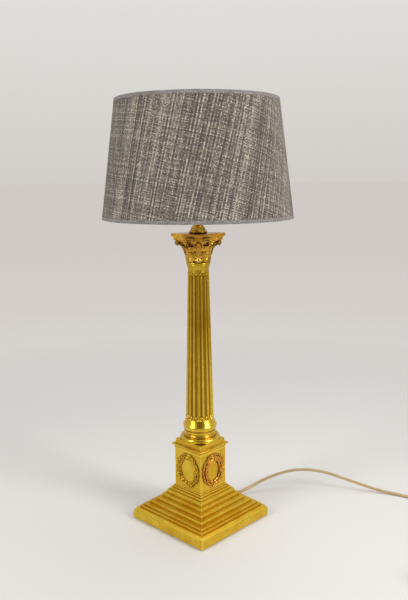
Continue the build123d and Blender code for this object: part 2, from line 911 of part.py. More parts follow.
with BuildPart() as capital:
    with BuildSketch(Plane.XZ):
        with BuildLine():
            Line((rod_radius + rod_play, capital_bottom), (bell_foot_radius, capital_bottom))
            ThreePointArc(
                (bell_foot_radius, capital_bottom),
                (bell_foot_radius + bell_swell, capital_bottom + capital_height / 2),
                (bell_top_radius, bell_top),
            )
            Polyline(
                (bell_top_radius, bell_top),
                (bell_top_radius, capital_top),
                (rod_radius + rod_play, capital_top),
                (rod_radius + rod_play, capital_bottom),
            )
        make_face()
    revolve(axis=Axis.Z)
    for index in range(8):
        add(lower_leaf, rotation=(0, 0, 45 * index))
        add(upper_leaf, rotation=(0, 0, 45 * index + 22.5))
    for index in range(4):
        add(volute.part, rotation=(0, 0, 45 + 90 * index))
    with BuildSketch(Plane.XY.offset(capital_bottom + wall)):
        Circle(bell_foot_radius - bell_wall)
    extrude(amount=capital_height - 2 * wall, mode=Mode.SUBTRACT)
    with BuildSketch(Plane.XY.offset(capital_bottom)):
        Circle(rod_radius + rod_play)
    extrude(amount=capital_height, mode=Mode.SUBTRACT)
keep("capital", capital.part)


def abacus_outline(reach, corner_width, hollow):
    """Square with hollow sides and cut corners; reach is the cut corners' distance from the axis."""
    near = (reach + corner_width / 2) / sqrt(2)
    far = (reach - corner_width / 2) / sqrt(2)
    middle = near - hollow
    corners = [(near, -far), (near, far), (far, near), (-far, near)]
    corners += [(-near, far), (-near, -far), (-far, -near), (far, -near)]
    middles = [(middle, 0), (0, middle), (-middle, 0), (0, -middle)]
    with BuildSketch() as outline:
        with BuildLine():
            for side in range(4):
                ThreePointArc(corners[2 * side], middles[side], corners[2 * side + 1])
                Line(corners[2 * side + 1], corners[(2 * side + 2) % 8])
        make_face()
    return outline.sketch


abacus_bottom = capital_top
abacus_top = abacus_bottom + abacus_height
flare_bottom = abacus_bottom + abacus_band
flare_top = abacus_top - abacus_band
foot_corner_width = abacus_corner_width - abacus_corner_spread
narrow = abacus_outline(abacus_reach - abacus_undercut, foot_corner_width, abacus_hollow)
wide = abacus_outline(abacus_reach, abacus_corner_width, abacus_hollow)

with BuildPart() as abacus:
    with BuildSketch(Plane.XY.offset(abacus_bottom)):
        add(narrow)
    extrude(amount=abacus_band)
    with BuildSketch(Plane.XY.offset(flare_bottom)):
        add(narrow)
    with BuildSketch(Plane.XY.offset(flare_top)):
        add(wide)
    loft(ruled=True)
    with BuildSketch(Plane.XY.offset(flare_top)):
        add(wide)
    extrude(amount=abacus_band)
    with BuildSketch(Plane.XY.offset(abacus_bottom)):
        Circle(rod_radius + rod_play)
    extrude(amount=abacus_height, mode=Mode.SUBTRACT)
keep("abacus", abacus.part)

# ---------------------------------------------------------------- cap and stem

cap_bottom = abacus_top
cap_top = cap_bottom + cap_height

cap_points = [(cap_radius - inset, cap_bottom + height) for inset, height in cap_profile]
cap_foot, cap_belly, cap_waist, step_foot, step_top, cap_shoulder = cap_points
collar_foot = (stem_radius + collar_rise, cap_top - collar_height)

with BuildPart() as vase_cap:
    with BuildSketch(Plane.XZ):
        with BuildLine():
            Line((rod_radius + rod_play, cap_bottom), cap_foot)
            ThreePointArc(cap_foot, cap_belly, cap_waist)
            Polyline(cap_waist, step_foot, step_top)
            ThreePointArc(step_top, cap_shoulder, collar_foot)
            Polyline(
                collar_foot,
                (stem_radius + collar_rise, cap_top),
                (rod_radius + rod_play, cap_top),
                (rod_radius + rod_play, cap_bottom),
            )
        make_face()
    revolve(axis=Axis.Z)
keep("vase_cap", vase_cap.part)

stem_top = cap_top + stem_height
stem_sleeve = spun(
    (
        (rod_radius + rod_play, cap_top),
        (stem_radius, cap_top),
        (stem_radius, stem_top),
        (rod_radius + rod_play, stem_top),
    )
)
keep("stem_sleeve", stem_sleeve)

# ---------------------------------------------------------------- rod and its fastening

ceiling = base_top - wall
clamp_bottom = ceiling - clamp_thickness
tag_bottom = clamp_bottom - tag_thickness
nut_bottom = tag_bottom - nut_height
rod_bottom = ceiling - rod_below
rod_top = stem_top + rod_into_holder

with BuildPart() as tie_rod:
    with BuildSketch(Plane.XY.offset(rod_bottom)):
        Circle(rod_radius)
        Circle(rod_bore, mode=Mode.SUBTRACT)
    extrude(amount=rod_top - rod_bottom)
keep("tie_rod", tie_rod.part)

with BuildPart() as clamp_plate:
    with BuildSketch(Plane.XY.offset(clamp_bottom)):
        Rectangle(clamp_side, clamp_side)
        Circle(rod_radius + rod_play, mode=Mode.SUBTRACT)
    extrude(amount=clamp_thickness)
keep("clamp_plate", clamp_plate.part)

with BuildPart() as earth_tag:
    with BuildSketch(Plane.XY.offset(tag_bottom)):
        Circle(rod_radius + tag_rim)
        with Locations((rod_radius + slip, 0)):
            Rectangle(tag_length - slip, tag_width, align=(Align.MIN, Align.CENTER))
        with Locations((rod_radius + tag_length - tag_hole_inset, 0)):
            Circle(tag_hole_radius, mode=Mode.SUBTRACT)
        Circle(rod_radius + slip, mode=Mode.SUBTRACT)
    extrude(amount=tag_thickness)
keep("earth_tag", earth_tag.part)

with BuildPart() as rod_nut:
    with BuildSketch(Plane.XY.offset(nut_bottom)):
        RegularPolygon(nut_flats / 2, 6, major_radius=False)
        Circle(rod_radius + slip, mode=Mode.SUBTRACT)
    extrude(amount=nut_height)
    chamfer(rod_nut.faces().sort_by(Axis.Z)[0].outer_wire().edges(), length=nut_bevel)
keep("rod_nut", rod_nut.part)

# ---------------------------------------------------------------- lampholder

holder_bottom = stem_top
skirt_bottom = holder_bottom + holder_cap_height
skirt_top = skirt_bottom + holder_skirt_height

collar_top = holder_bottom + holder_collar_height
shoulder_top = holder_bottom + holder_shoulder_height
holder_floor = holder_bottom + holder_floor_thickness
shoulder_inset, shoulder_rise = holder_shoulder_bend

with BuildPart() as holder_cap:
    with BuildSketch(Plane.XZ):
        with BuildLine():
            Polyline(
                (rod_radius + slip, holder_bottom),
                (holder_foot_radius, holder_bottom),
                (holder_foot_radius, collar_top),
            )
            ThreePointArc(
                (holder_foot_radius, collar_top),
                (holder_radius - shoulder_inset, holder_bottom + shoulder_rise),
                (holder_radius, shoulder_top),
            )
            Polyline(
                (holder_radius, shoulder_top),
                (holder_radius, skirt_bottom),
                (holder_radius - holder_wall, skirt_bottom),
                (holder_radius - holder_wall, shoulder_top),
                (holder_foot_radius, holder_floor),
                (rod_radius + slip, holder_floor),
                (rod_radius + slip, holder_bottom),
            )
        make_face()
    revolve(axis=Axis.Z)
keep("holder_cap", holder_cap.part)

holder_skirt = spun(
    (
        (holder_radius - holder_wall, skirt_bottom),
        (holder_radius, skirt_bottom),
        (holder_radius, skirt_top),
        (holder_mouth_radius, skirt_top),
        (holder_mouth_radius, skirt_top - holder_wall),
        (holder_radius - holder_wall, skirt_top - holder_wall),
    )
)
keep("holder_skirt", holder_skirt)

insert_radius = holder_radius - holder_wall - slip
insert_bottom = shoulder_top
insert_floor = insert_bottom + insert_height / 2
insert_top = insert_bottom + insert_height
shell_outer = screw_shell_radius + screw_shell_wall

with BuildPart() as holder_insert:
    with BuildSketch(Plane.XY.offset(insert_bottom)):
        Circle(insert_radius)
    extrude(amount=insert_height)
    with BuildSketch(Plane.XY.offset(insert_floor)):
        Circle(shell_outer + slip)
    extrude(amount=insert_height, mode=Mode.SUBTRACT)
    with BuildSketch(Plane.XY.offset(insert_bottom)):
        with Locations((terminal_place, 0), (-terminal_place, 0)):
            Circle(terminal_radius)
    extrude(amount=insert_height / 4, mode=Mode.SUBTRACT)
keep("holder_insert", holder_insert.part)

with BuildPart() as terminal_screws:
    with BuildSketch(Plane.XY.offset(insert_bottom)):
        with Locations((terminal_place, 0), (-terminal_place, 0)):
            Circle(terminal_radius - slip)
    extrude(amount=insert_height / 4 - slip)
keep("terminal_screws", terminal_screws.part)

shell_bottom = insert_floor
screw_shell = spun(
    (
        (screw_shell_radius - screw_shell_lip, shell_bottom),
        (shell_outer, shell_bottom),
        (shell_outer, shell_bottom + screw_shell_height),
        (screw_shell_radius, shell_bottom + screw_shell_height),
        (screw_shell_radius, shell_bottom + screw_shell_wall),
        (screw_shell_radius - screw_shell_lip, shell_bottom + screw_shell_wall),
    )
)
keep("screw_shell", screw_shell)

contact_top = insert_floor + contact_rise
contact_start = contact_slope_start - contact_foot_length

with BuildPart() as centre_contact:
    with BuildSketch(Plane.XZ):
        with BuildLine():
            Polyline(
                (contact_start, insert_floor),
                (contact_slope_start, insert_floor),
                (contact_slope_end, contact_top - contact_thickness),
                (contact_end, contact_top - contact_thickness),
                (contact_end, contact_top),
                (contact_slope_end - contact_skew, contact_top),
                (contact_slope_start - contact_skew, insert_floor + contact_thickness),
                (contact_start, insert_floor + contact_thickness),
                close=True,
            )
        make_face()
    extrude(amount=contact_width / 2, both=True)
keep("centre_contact", centre_contact.part)

lower_ring_bottom = skirt_bottom + shade_ring_level
lower_ring_top = lower_ring_bottom + shade_ring_height
fitter_bottom = lower_ring_top + fit
fitter_top = fitter_bottom + fitter_thickness
upper_ring_bottom = fitter_top + fit


def shade_ring(low):
    """Flanged ring nut on the outside of the lampholder's skirt."""
    return spun(
        (
            (holder_radius, low),
            (shade_ring_radius, low),
            (shade_ring_radius, low + shade_ring_height),
            (holder_radius, low + shade_ring_height),
        )
    )


keep("shade_ring_lower", shade_ring(lower_ring_bottom))
keep("shade_ring_upper", shade_ring(upper_ring_bottom))

# ---------------------------------------------------------------- bulb

bulb_foot = contact_top + bulb_gap
bulb_tip_top = bulb_foot + bulb_tip_height
bulb_shell_bottom = bulb_foot + bulb_foot_height
bulb_shell_top = bulb_shell_bottom + bulb_cap_height
bulb_top = bulb_foot + bulb_length
globe_level = bulb_top - bulb_radius
neck_radius = bulb_cap_radius + bulb_neck_rise

bulb_tip = spun(
    (
        (0, bulb_foot),
        (bulb_tip_radius - bulb_tip_height, bulb_foot),
        (bulb_tip_radius, bulb_tip_top),
        (0, bulb_tip_top),
    )
)
keep("bulb_tip", bulb_tip)

cap_lining = bulb_cap_radius - bulb_cap_bevel
bulb_insulator = spun(
    (
        (0, bulb_tip_top),
        (insulator_radius, bulb_tip_top),
        (cap_lining, bulb_shell_bottom),
        (0, bulb_shell_bottom),
    )
)
keep("bulb_insulator", bulb_insulator)

bevel_top = bulb_shell_bottom + bulb_cap_bevel_height
bulb_cap = spun(
    (
        (0, bulb_shell_bottom),
        (cap_lining, bulb_shell_bottom),
        (bulb_cap_radius, bevel_top),
        (bulb_cap_radius, bulb_shell_top),
        (bulb_cap_radius - bulb_cap_wall, bulb_shell_top),
        (bulb_cap_radius - bulb_cap_wall, bevel_top + bulb_cap_wall),
        (cap_lining - bulb_cap_wall, bulb_shell_bottom + bulb_cap_wall),
        (0, bulb_shell_bottom + bulb_cap_wall),
    )
)
keep("bulb_cap", bulb_cap)


def bulb_outline(radius, inset):
    """Lines of a bulb's right half: neck, swelling shoulder and round head."""
    foot = bulb_shell_top + inset
    neck = neck_radius - inset
    neck_top = (neck, bulb_shell_top + bulb_neck_height)
    swell = (neck + bulb_swell[0], bulb_shell_top + bulb_swell[1])
    dip = radians(shoulder_dip)
    shoulder = (radius * cos(dip), globe_level - radius * sin(dip))
    Line((0, foot), (neck, foot))
    Line((neck, foot), neck_top)
    ThreePointArc(neck_top, swell, shoulder)
    CenterArc((0, globe_level), radius, -shoulder_dip, 90 + shoulder_dip)
    Line((0, globe_level + radius), (0, foot))


with BuildPart() as bulb_glass:
    with BuildSketch(Plane.XZ):
        with BuildLine():
            bulb_outline(bulb_radius, 0)
        make_face()
    revolve(axis=Axis.Z)
    with BuildSketch(Plane.XZ):
        with BuildLine():
            bulb_outline(bulb_radius - bulb_wall, bulb_wall)
        make_face()
    revolve(axis=Axis.Z, mode=Mode.SUBTRACT)
keep("bulb_glass", bulb_glass.part)

stem_foot = bulb_shell_top + bulb_wall
bulb_stem = spun([(0, stem_foot)] + [(radius, stem_foot + rise) for radius, rise in bulb_stem_profile])
keep("bulb_stem", bulb_stem)

with BuildPart() as bulb_filaments:
    with Locations((0, 0, stem_foot + filament_level)):
        with PolarLocations(filament_place, filament_count):
            Cylinder(filament_radius, filament_length, align=(Align.CENTER, Align.CENTER, Align.MIN))
keep("bulb_filaments", bulb_filaments.part)

# ---------------------------------------------------------------- shade

shade_top_level = shade_bottom_level + shade_height
shade_slope = (shade_bottom_diameter - shade_top_diameter) / 2 / shade_height


def shade_radius(height):
    """Outer radius of the shade's edge tape at a height."""
    return shade_bottom_diameter / 2 - shade_slope * (height - shade_bottom_level)


def sleeve(low, high, outer, inner):
    """Thin tapered sleeve: outer and inner are insets from the tape's outer face."""
    return spun(
        (
            (shade_radius(low) - outer, low),
            (shade_radius(high) - outer, high),
            (shade_radius(high) - inner, high),
            (shade_radius(low) - inner, low),
        )
    )


cover_out = tape_wall + tape_ease
cover_in = cover_out + cover_wall
lining_in = cover_in + lining_wall
wire_inset = lining_in + wire_ease + ring_wire_radius
tape_in = wire_inset + ring_wire_radius + wire_ease + tape_wall
cover_low = shade_bottom_level + tape_wall
cover_high = shade_top_level - tape_wall

keep("shade_cover", sleeve(cover_low, cover_high, cover_out, cover_in))
keep("shade_lining", sleeve(cover_low, cover_high, cover_in, lining_in))


def edge_tape(edge, inwards):
    """Tape folded round an edge and its ring wire; inwards is +1 at the bottom, -1 at the top."""
    fold = edge + inwards * tape_wall
    outer = edge + inwards * tape_height
    inner = edge + inwards * tape_inner_height
    return spun(
        (
            (shade_radius(edge), edge),
            (shade_radius(outer), outer),
            (shade_radius(outer) - tape_wall, outer),
            (shade_radius(fold) - tape_wall, fold),
            (shade_radius(fold) - tape_in + tape_wall, fold),
            (shade_radius(inner) - tape_in + tape_wall, inner),
            (shade_radius(inner) - tape_in, inner),
            (shade_radius(edge) - tape_in, edge),
        )
    )


keep("bottom_tape", edge_tape(shade_bottom_level, 1))
keep("top_tape", edge_tape(shade_top_level, -1))

bottom_wire_level = shade_bottom_level + tape_wall + ring_wire_radius + wire_lift
top_wire_level = shade_top_level - tape_wall - ring_wire_radius - wire_lift


def ring_wire(height):
    """Round wire ring just inside the lining."""
    with BuildPart() as piece:
        with BuildSketch(Plane.XZ):
            with Locations((shade_radius(height) - wire_inset, height)):
                Circle(ring_wire_radius)
        revolve(axis=Axis.Z)
    return piece.part


keep("bottom_ring_wire", ring_wire(bottom_wire_level))
keep("top_ring_wire", ring_wire(top_wire_level))

fitter_radius = shade_ring_radius + fitter_lip
fitter_ring = spun(
    (
        (holder_radius + fit, fitter_bottom),
        (fitter_radius, fitter_bottom),
        (fitter_radius, fitter_top),
        (holder_radius + fit, fitter_top),
    )
)
keep("fitter_ring", fitter_ring)

arm_level = (fitter_bottom + fitter_top) / 2
arm_start = fitter_radius - ring_wire_radius
arm_end = shade_radius(bottom_wire_level) - wire_inset
with BuildPart() as spider_arms:
    for index in range(spider_arm_count):
        turn = radians(spider_arm_turn + index * 360 / spider_arm_count)
        outwards = Vector(cos(turn), sin(turn), 0)
        bend = arm_start + spider_arm_level_run
        inner_point = outwards * arm_start + Vector(0, 0, arm_level)
        bend_point = outwards * bend + Vector(0, 0, arm_level)
        outer_point = outwards * arm_end + Vector(0, 0, bottom_wire_level)
        with BuildLine(mode=Mode.PRIVATE) as arm_route:
            FilletPolyline(inner_point, bend_point, outer_point, radius=spider_arm_bend)
        with BuildSketch(Plane(origin=inner_point, z_dir=outwards)):
            Circle(ring_wire_radius)
        sweep(path=arm_route.wire())
keep("spider_arms", spider_arms.part)

# ---------------------------------------------------------------- cord from the lamp to the switch

wall_outside = base_side / 2
bush_end = wall_outside + bush_flange_thickness + bush_sleeve_length
bush_inside = slab_inside - bush_grip
cord_bore = cord_radius + bore_ease

with BuildPart() as cord_bush:
    with BuildSketch(Plane.YZ):
        with BuildLine():
            Polyline(
                (bush_inside, exit_level),
                (bush_inside, exit_level + bush_root_radius - slip),
                (wall_outside, exit_level + bush_root_radius - slip),
                (wall_outside, exit_level + bush_flange_radius),
                (wall_outside + bush_flange_thickness, exit_level + bush_flange_radius),
                (wall_outside + bush_flange_thickness, exit_level + bush_root_radius),
                (bush_end, exit_level + bush_tip_radius),
                (bush_end, exit_level),
                close=True,
            )
        make_face()
    revolve(axis=Axis((0, 0, exit_level), (0, 1, 0)))
    with BuildSketch(Plane.XZ.offset(-bush_end)):
        with Locations((0, exit_level)):
            Circle(cord_bore)
    extrude(amount=bush_end - bush_inside, mode=Mode.SUBTRACT)
keep("cord_bush", cord_bush.part)

with BuildPart() as inner_lead:
    with BuildLine() as inner_route:
        FilletPolyline(
            (0, bush_end, exit_level),
            (0, 0, exit_level),
            (0, 0, insert_bottom - 1),
            radius=lead_bend,
        )
    with BuildSketch(Plane(origin=(0, bush_end, exit_level), z_dir=(0, -1, 0))):
        Circle(cord_radius)
    sweep()
keep("inner_lead", inner_lead.part)

floor_level = cord_radius + floor_gap
heading = radians(switch_heading)
switch_along = Vector(cos(heading), sin(heading), 0)
switch_start = Vector(*switch_entry, switch_axis_level)
switch_end = switch_start + switch_along * switch_length

lead_points = [
    (0, bush_end, exit_level),
    (0, 143, exit_level),
    (18, 182, 25),
    (56, 230, 42),
    (104, 265, 41),
    (157, 301, 21),
    (206, 330, 5.4),
    (243, 345.5, floor_level),
    (279, 353, floor_level),
    (308, 351, 4.2),
    tuple(switch_start - switch_along * switch_lead),
    tuple(switch_start),
]
cord_lead, lead_length = cord_tube("cord_lead", lead_points)
keep("cord_lead", cord_lead)

# ---------------------------------------------------------------- inline switch

switch_plane = Plane(
    origin=(switch_entry[0], switch_entry[1], floor_gap), x_dir=switch_along, z_dir=(0, 0, 1)
)
switch_middle = switch_length / 2
shell_split = switch_axis_level - floor_gap


def switch_outline(inset):
    """Outline of the switch seen from above: a rounded barrel with narrow ends."""
    ends = switch_end_width / 2 - inset
    belly = switch_width / 2 - inset
    near = inset
    far = switch_length - inset
    with BuildSketch() as outline:
        with BuildLine():
            Line((near, -ends), (near, ends))
            ThreePointArc((near, ends), (switch_middle, belly), (far, ends))
            Line((far, ends), (far, -ends))
            ThreePointArc((far, -ends), (switch_middle, -belly), (near, -ends))
        make_face()
    return outline.sketch


cord_hole = Plane(origin=tuple(switch_start), x_dir=(0, 0, 1), z_dir=tuple(switch_along))
pivot_level = shell_split + pivot_rise
cheek_near = rocker_width / 2 + cheek_gap
cheek_height = pivot_level - switch_wall / 2 + cheek_rise
cheek_drop = (pivot_level - cheek_rise) / 2
pivot_point = switch_start + switch_along * switch_middle + Vector(0, 0, pivot_rise)
cheek_plane = Plane(
    origin=tuple(pivot_point),
    x_dir=tuple(switch_along),
    z_dir=(switch_along.Y, -switch_along.X, 0),
)
screw_places = ((switch_screw_inset, 0), (switch_length - switch_screw_inset, 0))

with BuildPart() as switch_lower:
    with BuildSketch(switch_plane):
        add(switch_outline(0))
    extrude(amount=shell_split)
    chamfer(switch_lower.faces().sort_by(Axis.Z)[0].edges(), length=switch_foot_bevel)
    with BuildSketch(switch_plane.offset(switch_wall)):
        add(switch_outline(switch_wall))
    extrude(amount=switch_height, mode=Mode.SUBTRACT)
    with BuildSketch(switch_plane):
        with Locations(*screw_places):
            Circle(switch_boss_radius)
    extrude(amount=shell_split)
    with BuildSketch(switch_plane):
        with Locations(*screw_places):
            Circle(switch_screw_radius)
    extrude(amount=shell_split, mode=Mode.SUBTRACT)
    with BuildSketch(cheek_plane.offset(cheek_near)):
        with Locations((0, -cheek_drop)):
            Rectangle(cheek_width, cheek_height)
    extrude(amount=cheek_thickness)
    with BuildSketch(cheek_plane.offset(-cheek_near)):
        with Locations((0, -cheek_drop)):
            Rectangle(cheek_width, cheek_height)
    extrude(amount=-cheek_thickness)
    with BuildSketch(cheek_plane.offset(-switch_width / 2)):
        Circle(rocker_pin_radius + rocker_pin_play)
    extrude(amount=switch_width, mode=Mode.SUBTRACT)
    with BuildSketch(cord_hole):
        Circle(cord_bore)
    extrude(amount=switch_wall + slip, mode=Mode.SUBTRACT)
    with BuildSketch(cord_hole.offset(switch_length)):
        Circle(cord_bore)
    extrude(amount=-switch_wall - slip, mode=Mode.SUBTRACT)
keep("switch_lower", switch_lower.part)

with BuildPart() as switch_upper:
    with BuildSketch(switch_plane.offset(shell_split)):
        add(switch_outline(0))
    extrude(amount=switch_height - shell_split)
    fillet(switch_upper.faces().sort_by(Axis.Z)[-1].edges(), radius=switch_top_rounding)
    with BuildSketch(switch_plane.offset(shell_split)):
        add(switch_outline(switch_wall))
    extrude(amount=switch_height - shell_split - switch_wall - switch_roof, mode=Mode.SUBTRACT)
    with BuildSketch(switch_plane.offset(shell_split)):
        with Locations((switch_middle, 0)):
            Rectangle(rocker_length + 2 * rocker_end_gap, rocker_width + 2 * rocker_side_gap)
    extrude(amount=switch_height, mode=Mode.SUBTRACT)
    with BuildSketch(cord_hole):
        Circle(cord_bore)
    extrude(amount=switch_wall + slip, mode=Mode.SUBTRACT)
    with BuildSketch(cord_hole.offset(switch_length)):
        Circle(cord_bore)
    extrude(amount=-switch_wall - slip, mode=Mode.SUBTRACT)
keep("switch_upper", switch_upper.part)

rocker_top = switch_height - pivot_level - rocker_recess
rocker_half = rocker_length / 2
foot_half = rocker_half - rocker_foot_inset
rocker_rim = rocker_top + rocker_dish

with BuildPart() as switch_rocker:
    with BuildSketch(cheek_plane.offset(-rocker_width / 2)):
        with BuildLine():
            Line((-foot_half, -rocker_foot_drop), (foot_half, -rocker_foot_drop))
            Line((foot_half, -rocker_foot_drop), (rocker_half, rocker_rim))
            ThreePointArc((rocker_half, rocker_rim), (0, rocker_top), (-rocker_half, rocker_rim))
            Line((-rocker_half, rocker_rim), (-foot_half, -rocker_foot_drop))
        make_face()
    extrude(amount=rocker_width)
    with BuildSketch(cheek_plane.offset(-cheek_near - cheek_thickness)):
        Circle(rocker_pin_radius)
    extrude(amount=2 * (cheek_near + cheek_thickness))
pivot = Axis(cheek_plane.origin, cheek_plane.z_dir)
keep("switch_rocker", switch_rocker.part.rotate(pivot, -rocker_tilt))

with BuildPart() as switch_screws:
    with BuildSketch(switch_plane):
        with Locations(*screw_places):
            Circle(switch_screw_radius - slip)
    extrude(amount=shell_split)
keep("switch_screws", switch_screws.part)

# ---------------------------------------------------------------- cord from the switch to the coil

turn_pitch = 2 * cord_radius + coil_turn_gap
coil_x, coil_y = coil_centre
coil_start = Vector(coil_x + coil_outer_radius, coil_y, floor_level)
straight_end = 2 * cord_radius

tail_points = [
    tuple(switch_end),
    tuple(switch_end + switch_along * switch_tail),
    (434, 275, 5.6),
    (coil_start.X, 252, floor_level),
    (coil_start.X, coil_y + straight_end, floor_level),
]
cord_tail, tail_length = cord_tube("cord_tail", tail_points)
keep("cord_tail", cord_tail)


def coil_arcs():
    """Start, middle and end of each half turn: inwards on the floor, up one layer, outwards on top."""
    arcs = []
    here = coil_start
    radius = coil_outer_radius
    for index in range(2 * coil_half_turns):
        side = -1 if index % 2 == 0 else 1  # the even half turns pass on the -Y side
        climb = turn_pitch if index == coil_half_turns else 0
        across = -2 * radius if index % 2 == 0 else 2 * radius
        there = here + Vector(across, 0, climb)
        centre = (here + there) / 2
        middle = centre + Vector(0, side * (there - here).length / 2, 0)
        arcs.append((here, middle, there))
        here = there
        step = turn_pitch / 2
        radius = radius - step if index < coil_half_turns else radius + step
    return arcs


coil_path = coil_arcs()
coil_finish = coil_path[-1][2]
coil_ways_out = Vector(0, -straight_end, 0)
with BuildPart() as cord_coil:
    with BuildLine() as coil_route:
        Line(coil_start + Vector(0, straight_end, 0), coil_start)
        for first, middle, last in coil_path:
            ThreePointArc(first, middle, last)
        Line(coil_finish, coil_finish + coil_ways_out)
    with BuildSketch(Plane(origin=coil_start + Vector(0, straight_end, 0), z_dir=(0, -1, 0))):
        Circle(cord_radius)
    sweep()
keep("cord_coil", cord_coil.part)
coil_length = coil_route.wire().length

samples = 1200
nearby = 40.0  # length of cord within which two points count as neighbours
marks = [coil_route.wire().position_at(index / samples) for index in range(samples + 1)]
apart = int(samples * nearby / coil_length)
least = min(
    hypot(marks[i].X - marks[j].X, marks[i].Y - marks[j].Y, marks[i].Z - marks[j].Z)
    for i in range(0, samples, 2)
    for j in range(i + apart, samples + 1, 2)
)
coil_share = cord_coil.part.volume / (pi * cord_radius**2 * coil_length)
coil_gap = least - 2 * cord_radius
print(f"cord_coil: length {coil_length:.1f}, volume share {coil_share:.4f}, least gap {coil_gap:.2f}")

# ---------------------------------------------------------------- cord from the coil to the plug

plug_turn = radians(plug_heading)
plug_along = Vector(cos(plug_turn), sin(plug_turn), 0)
plug_level = plug_radius + plug_lift
end_start = coil_finish + coil_ways_out
plug_back = Vector(446, 136, plug_level)
end_points = [
    tuple(end_start),
    (end_start.X, end_start.Y - 21, end_start.Z),
    (end_start.X + 1.5, end_start.Y - 43, end_start.Z + 4.6),
    tuple(plug_back - plug_along * plug_lead),
    tuple(plug_back),
]
cord_end, end_length = cord_tube("cord_end", end_points)
keep("cord_end", cord_end)

plug_plane = Plane(origin=plug_back, x_dir=(0, 0, 1), z_dir=plug_along)
grip_near = plug_relief_length + plug_grip_length
body_far = plug_relief_length + plug_body_length
pin_middle = plug_pin_spacing / 2

with BuildPart() as plug_body:
    with BuildSketch(plug_plane):
        Circle(cord_radius + plug_relief_tip)
    with BuildSketch(plug_plane.offset(plug_relief_length)):
        Circle(plug_relief_radius + plug_relief_spread)
    loft(ruled=True)
    with BuildSketch(plug_plane.offset(plug_relief_length)):
        Circle(plug_relief_radius + plug_relief_spread)
    with BuildSketch(plug_plane.offset(plug_relief_length + plug_shoulder_length)):
        Circle(plug_radius - plug_shoulder_inset)
    with BuildSketch(plug_plane.offset(grip_near)):
        Circle(plug_radius)
    loft(ruled=True)
    with BuildSketch(plug_plane.offset(grip_near)):
        Circle(plug_radius)
    extrude(amount=plug_body_length - plug_grip_length)
    with BuildSketch(plug_plane.offset(body_far - plug_clip_length)):
        with Locations((0, plug_radius), (0, -plug_radius)):
            Rectangle(plug_clip_width + plug_clip_margin, 2 * plug_clip_groove)
    extrude(amount=plug_clip_length, mode=Mode.SUBTRACT)
    with BuildSketch(plug_plane.offset(body_far)):
        with Locations((0, pin_middle), (0, -pin_middle)):
            Circle(plug_pin_radius)
    extrude(amount=-plug_pin_root, mode=Mode.SUBTRACT)
keep("plug_body", plug_body.part)

with BuildPart() as plug_pins:
    with BuildSketch(plug_plane.offset(body_far - plug_pin_root)):
        with Locations((0, pin_middle), (0, -pin_middle)):
            Circle(plug_pin_radius)
    extrude(amount=plug_pin_length + plug_pin_root)
    chamfer(plug_pins.faces().sort_by(Axis(plug_back, plug_along))[-2:].edges(), length=plug_pin_bevel)
keep("plug_pins", plug_pins.part)

clip_middle = plug_radius - plug_clip_groove + plug_clip_thickness / 2
with BuildPart() as plug_earth_clips:
    with BuildSketch(plug_plane.offset(body_far - plug_clip_length)):
        with Locations((0, clip_middle), (0, -clip_middle)):
            Rectangle(plug_clip_width, plug_clip_thickness)
    extrude(amount=plug_clip_length - plug_clip_margin)
keep("plug_earth_clips", plug_earth_clips.part)

cord_length = (
    bush_end - wall_outside + lead_length + switch_length + tail_length + coil_length + end_length
)
print(f"cord from the base to the plug: {cord_length:.0f}")
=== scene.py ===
"""Looks of a brass column table lamp with a tapered fabric shade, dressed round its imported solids.

Everything is in metres in the lamp's own frame: +Z up, the origin under the middle of the base,
the base's sides along X and Y, and the cord leaving the middle of the +Y side. Turned and cast
pieces whose solids already have their shape only get their metal. The fluted shaft, the leaves,
the wreaths, the shade's cloth and tapes, the felt and the cord are made here and stand for their
solids.
"""

import json
import logging
from dataclasses import dataclass
from enum import Enum
from math import cos, hypot, pi, radians, sin
from typing import Any, Iterable, Sequence

import bmesh
import bpy
from mathutils import Matrix, Vector, noise


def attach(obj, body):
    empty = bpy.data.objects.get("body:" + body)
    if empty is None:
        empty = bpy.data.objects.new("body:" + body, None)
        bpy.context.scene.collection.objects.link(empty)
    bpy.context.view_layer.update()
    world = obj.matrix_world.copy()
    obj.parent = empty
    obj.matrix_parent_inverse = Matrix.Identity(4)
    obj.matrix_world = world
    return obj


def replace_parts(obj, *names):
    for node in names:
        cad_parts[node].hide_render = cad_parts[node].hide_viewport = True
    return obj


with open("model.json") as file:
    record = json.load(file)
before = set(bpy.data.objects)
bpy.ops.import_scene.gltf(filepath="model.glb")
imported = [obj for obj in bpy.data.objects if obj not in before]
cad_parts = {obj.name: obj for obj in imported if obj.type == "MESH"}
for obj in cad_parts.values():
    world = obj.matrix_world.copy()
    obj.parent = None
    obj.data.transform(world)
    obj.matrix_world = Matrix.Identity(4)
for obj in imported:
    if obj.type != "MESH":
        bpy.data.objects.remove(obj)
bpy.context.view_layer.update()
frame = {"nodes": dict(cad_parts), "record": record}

log = logging.getLogger("column_lamp")
Pair = tuple[float, float]
Colour = tuple[float, float, float]
Point = tuple[float, float, float]


class Body(Enum):
    """Bodies of the lamp that pieces made here ride on."""

    LAMP = "lamp"
    SHADE = "shade"


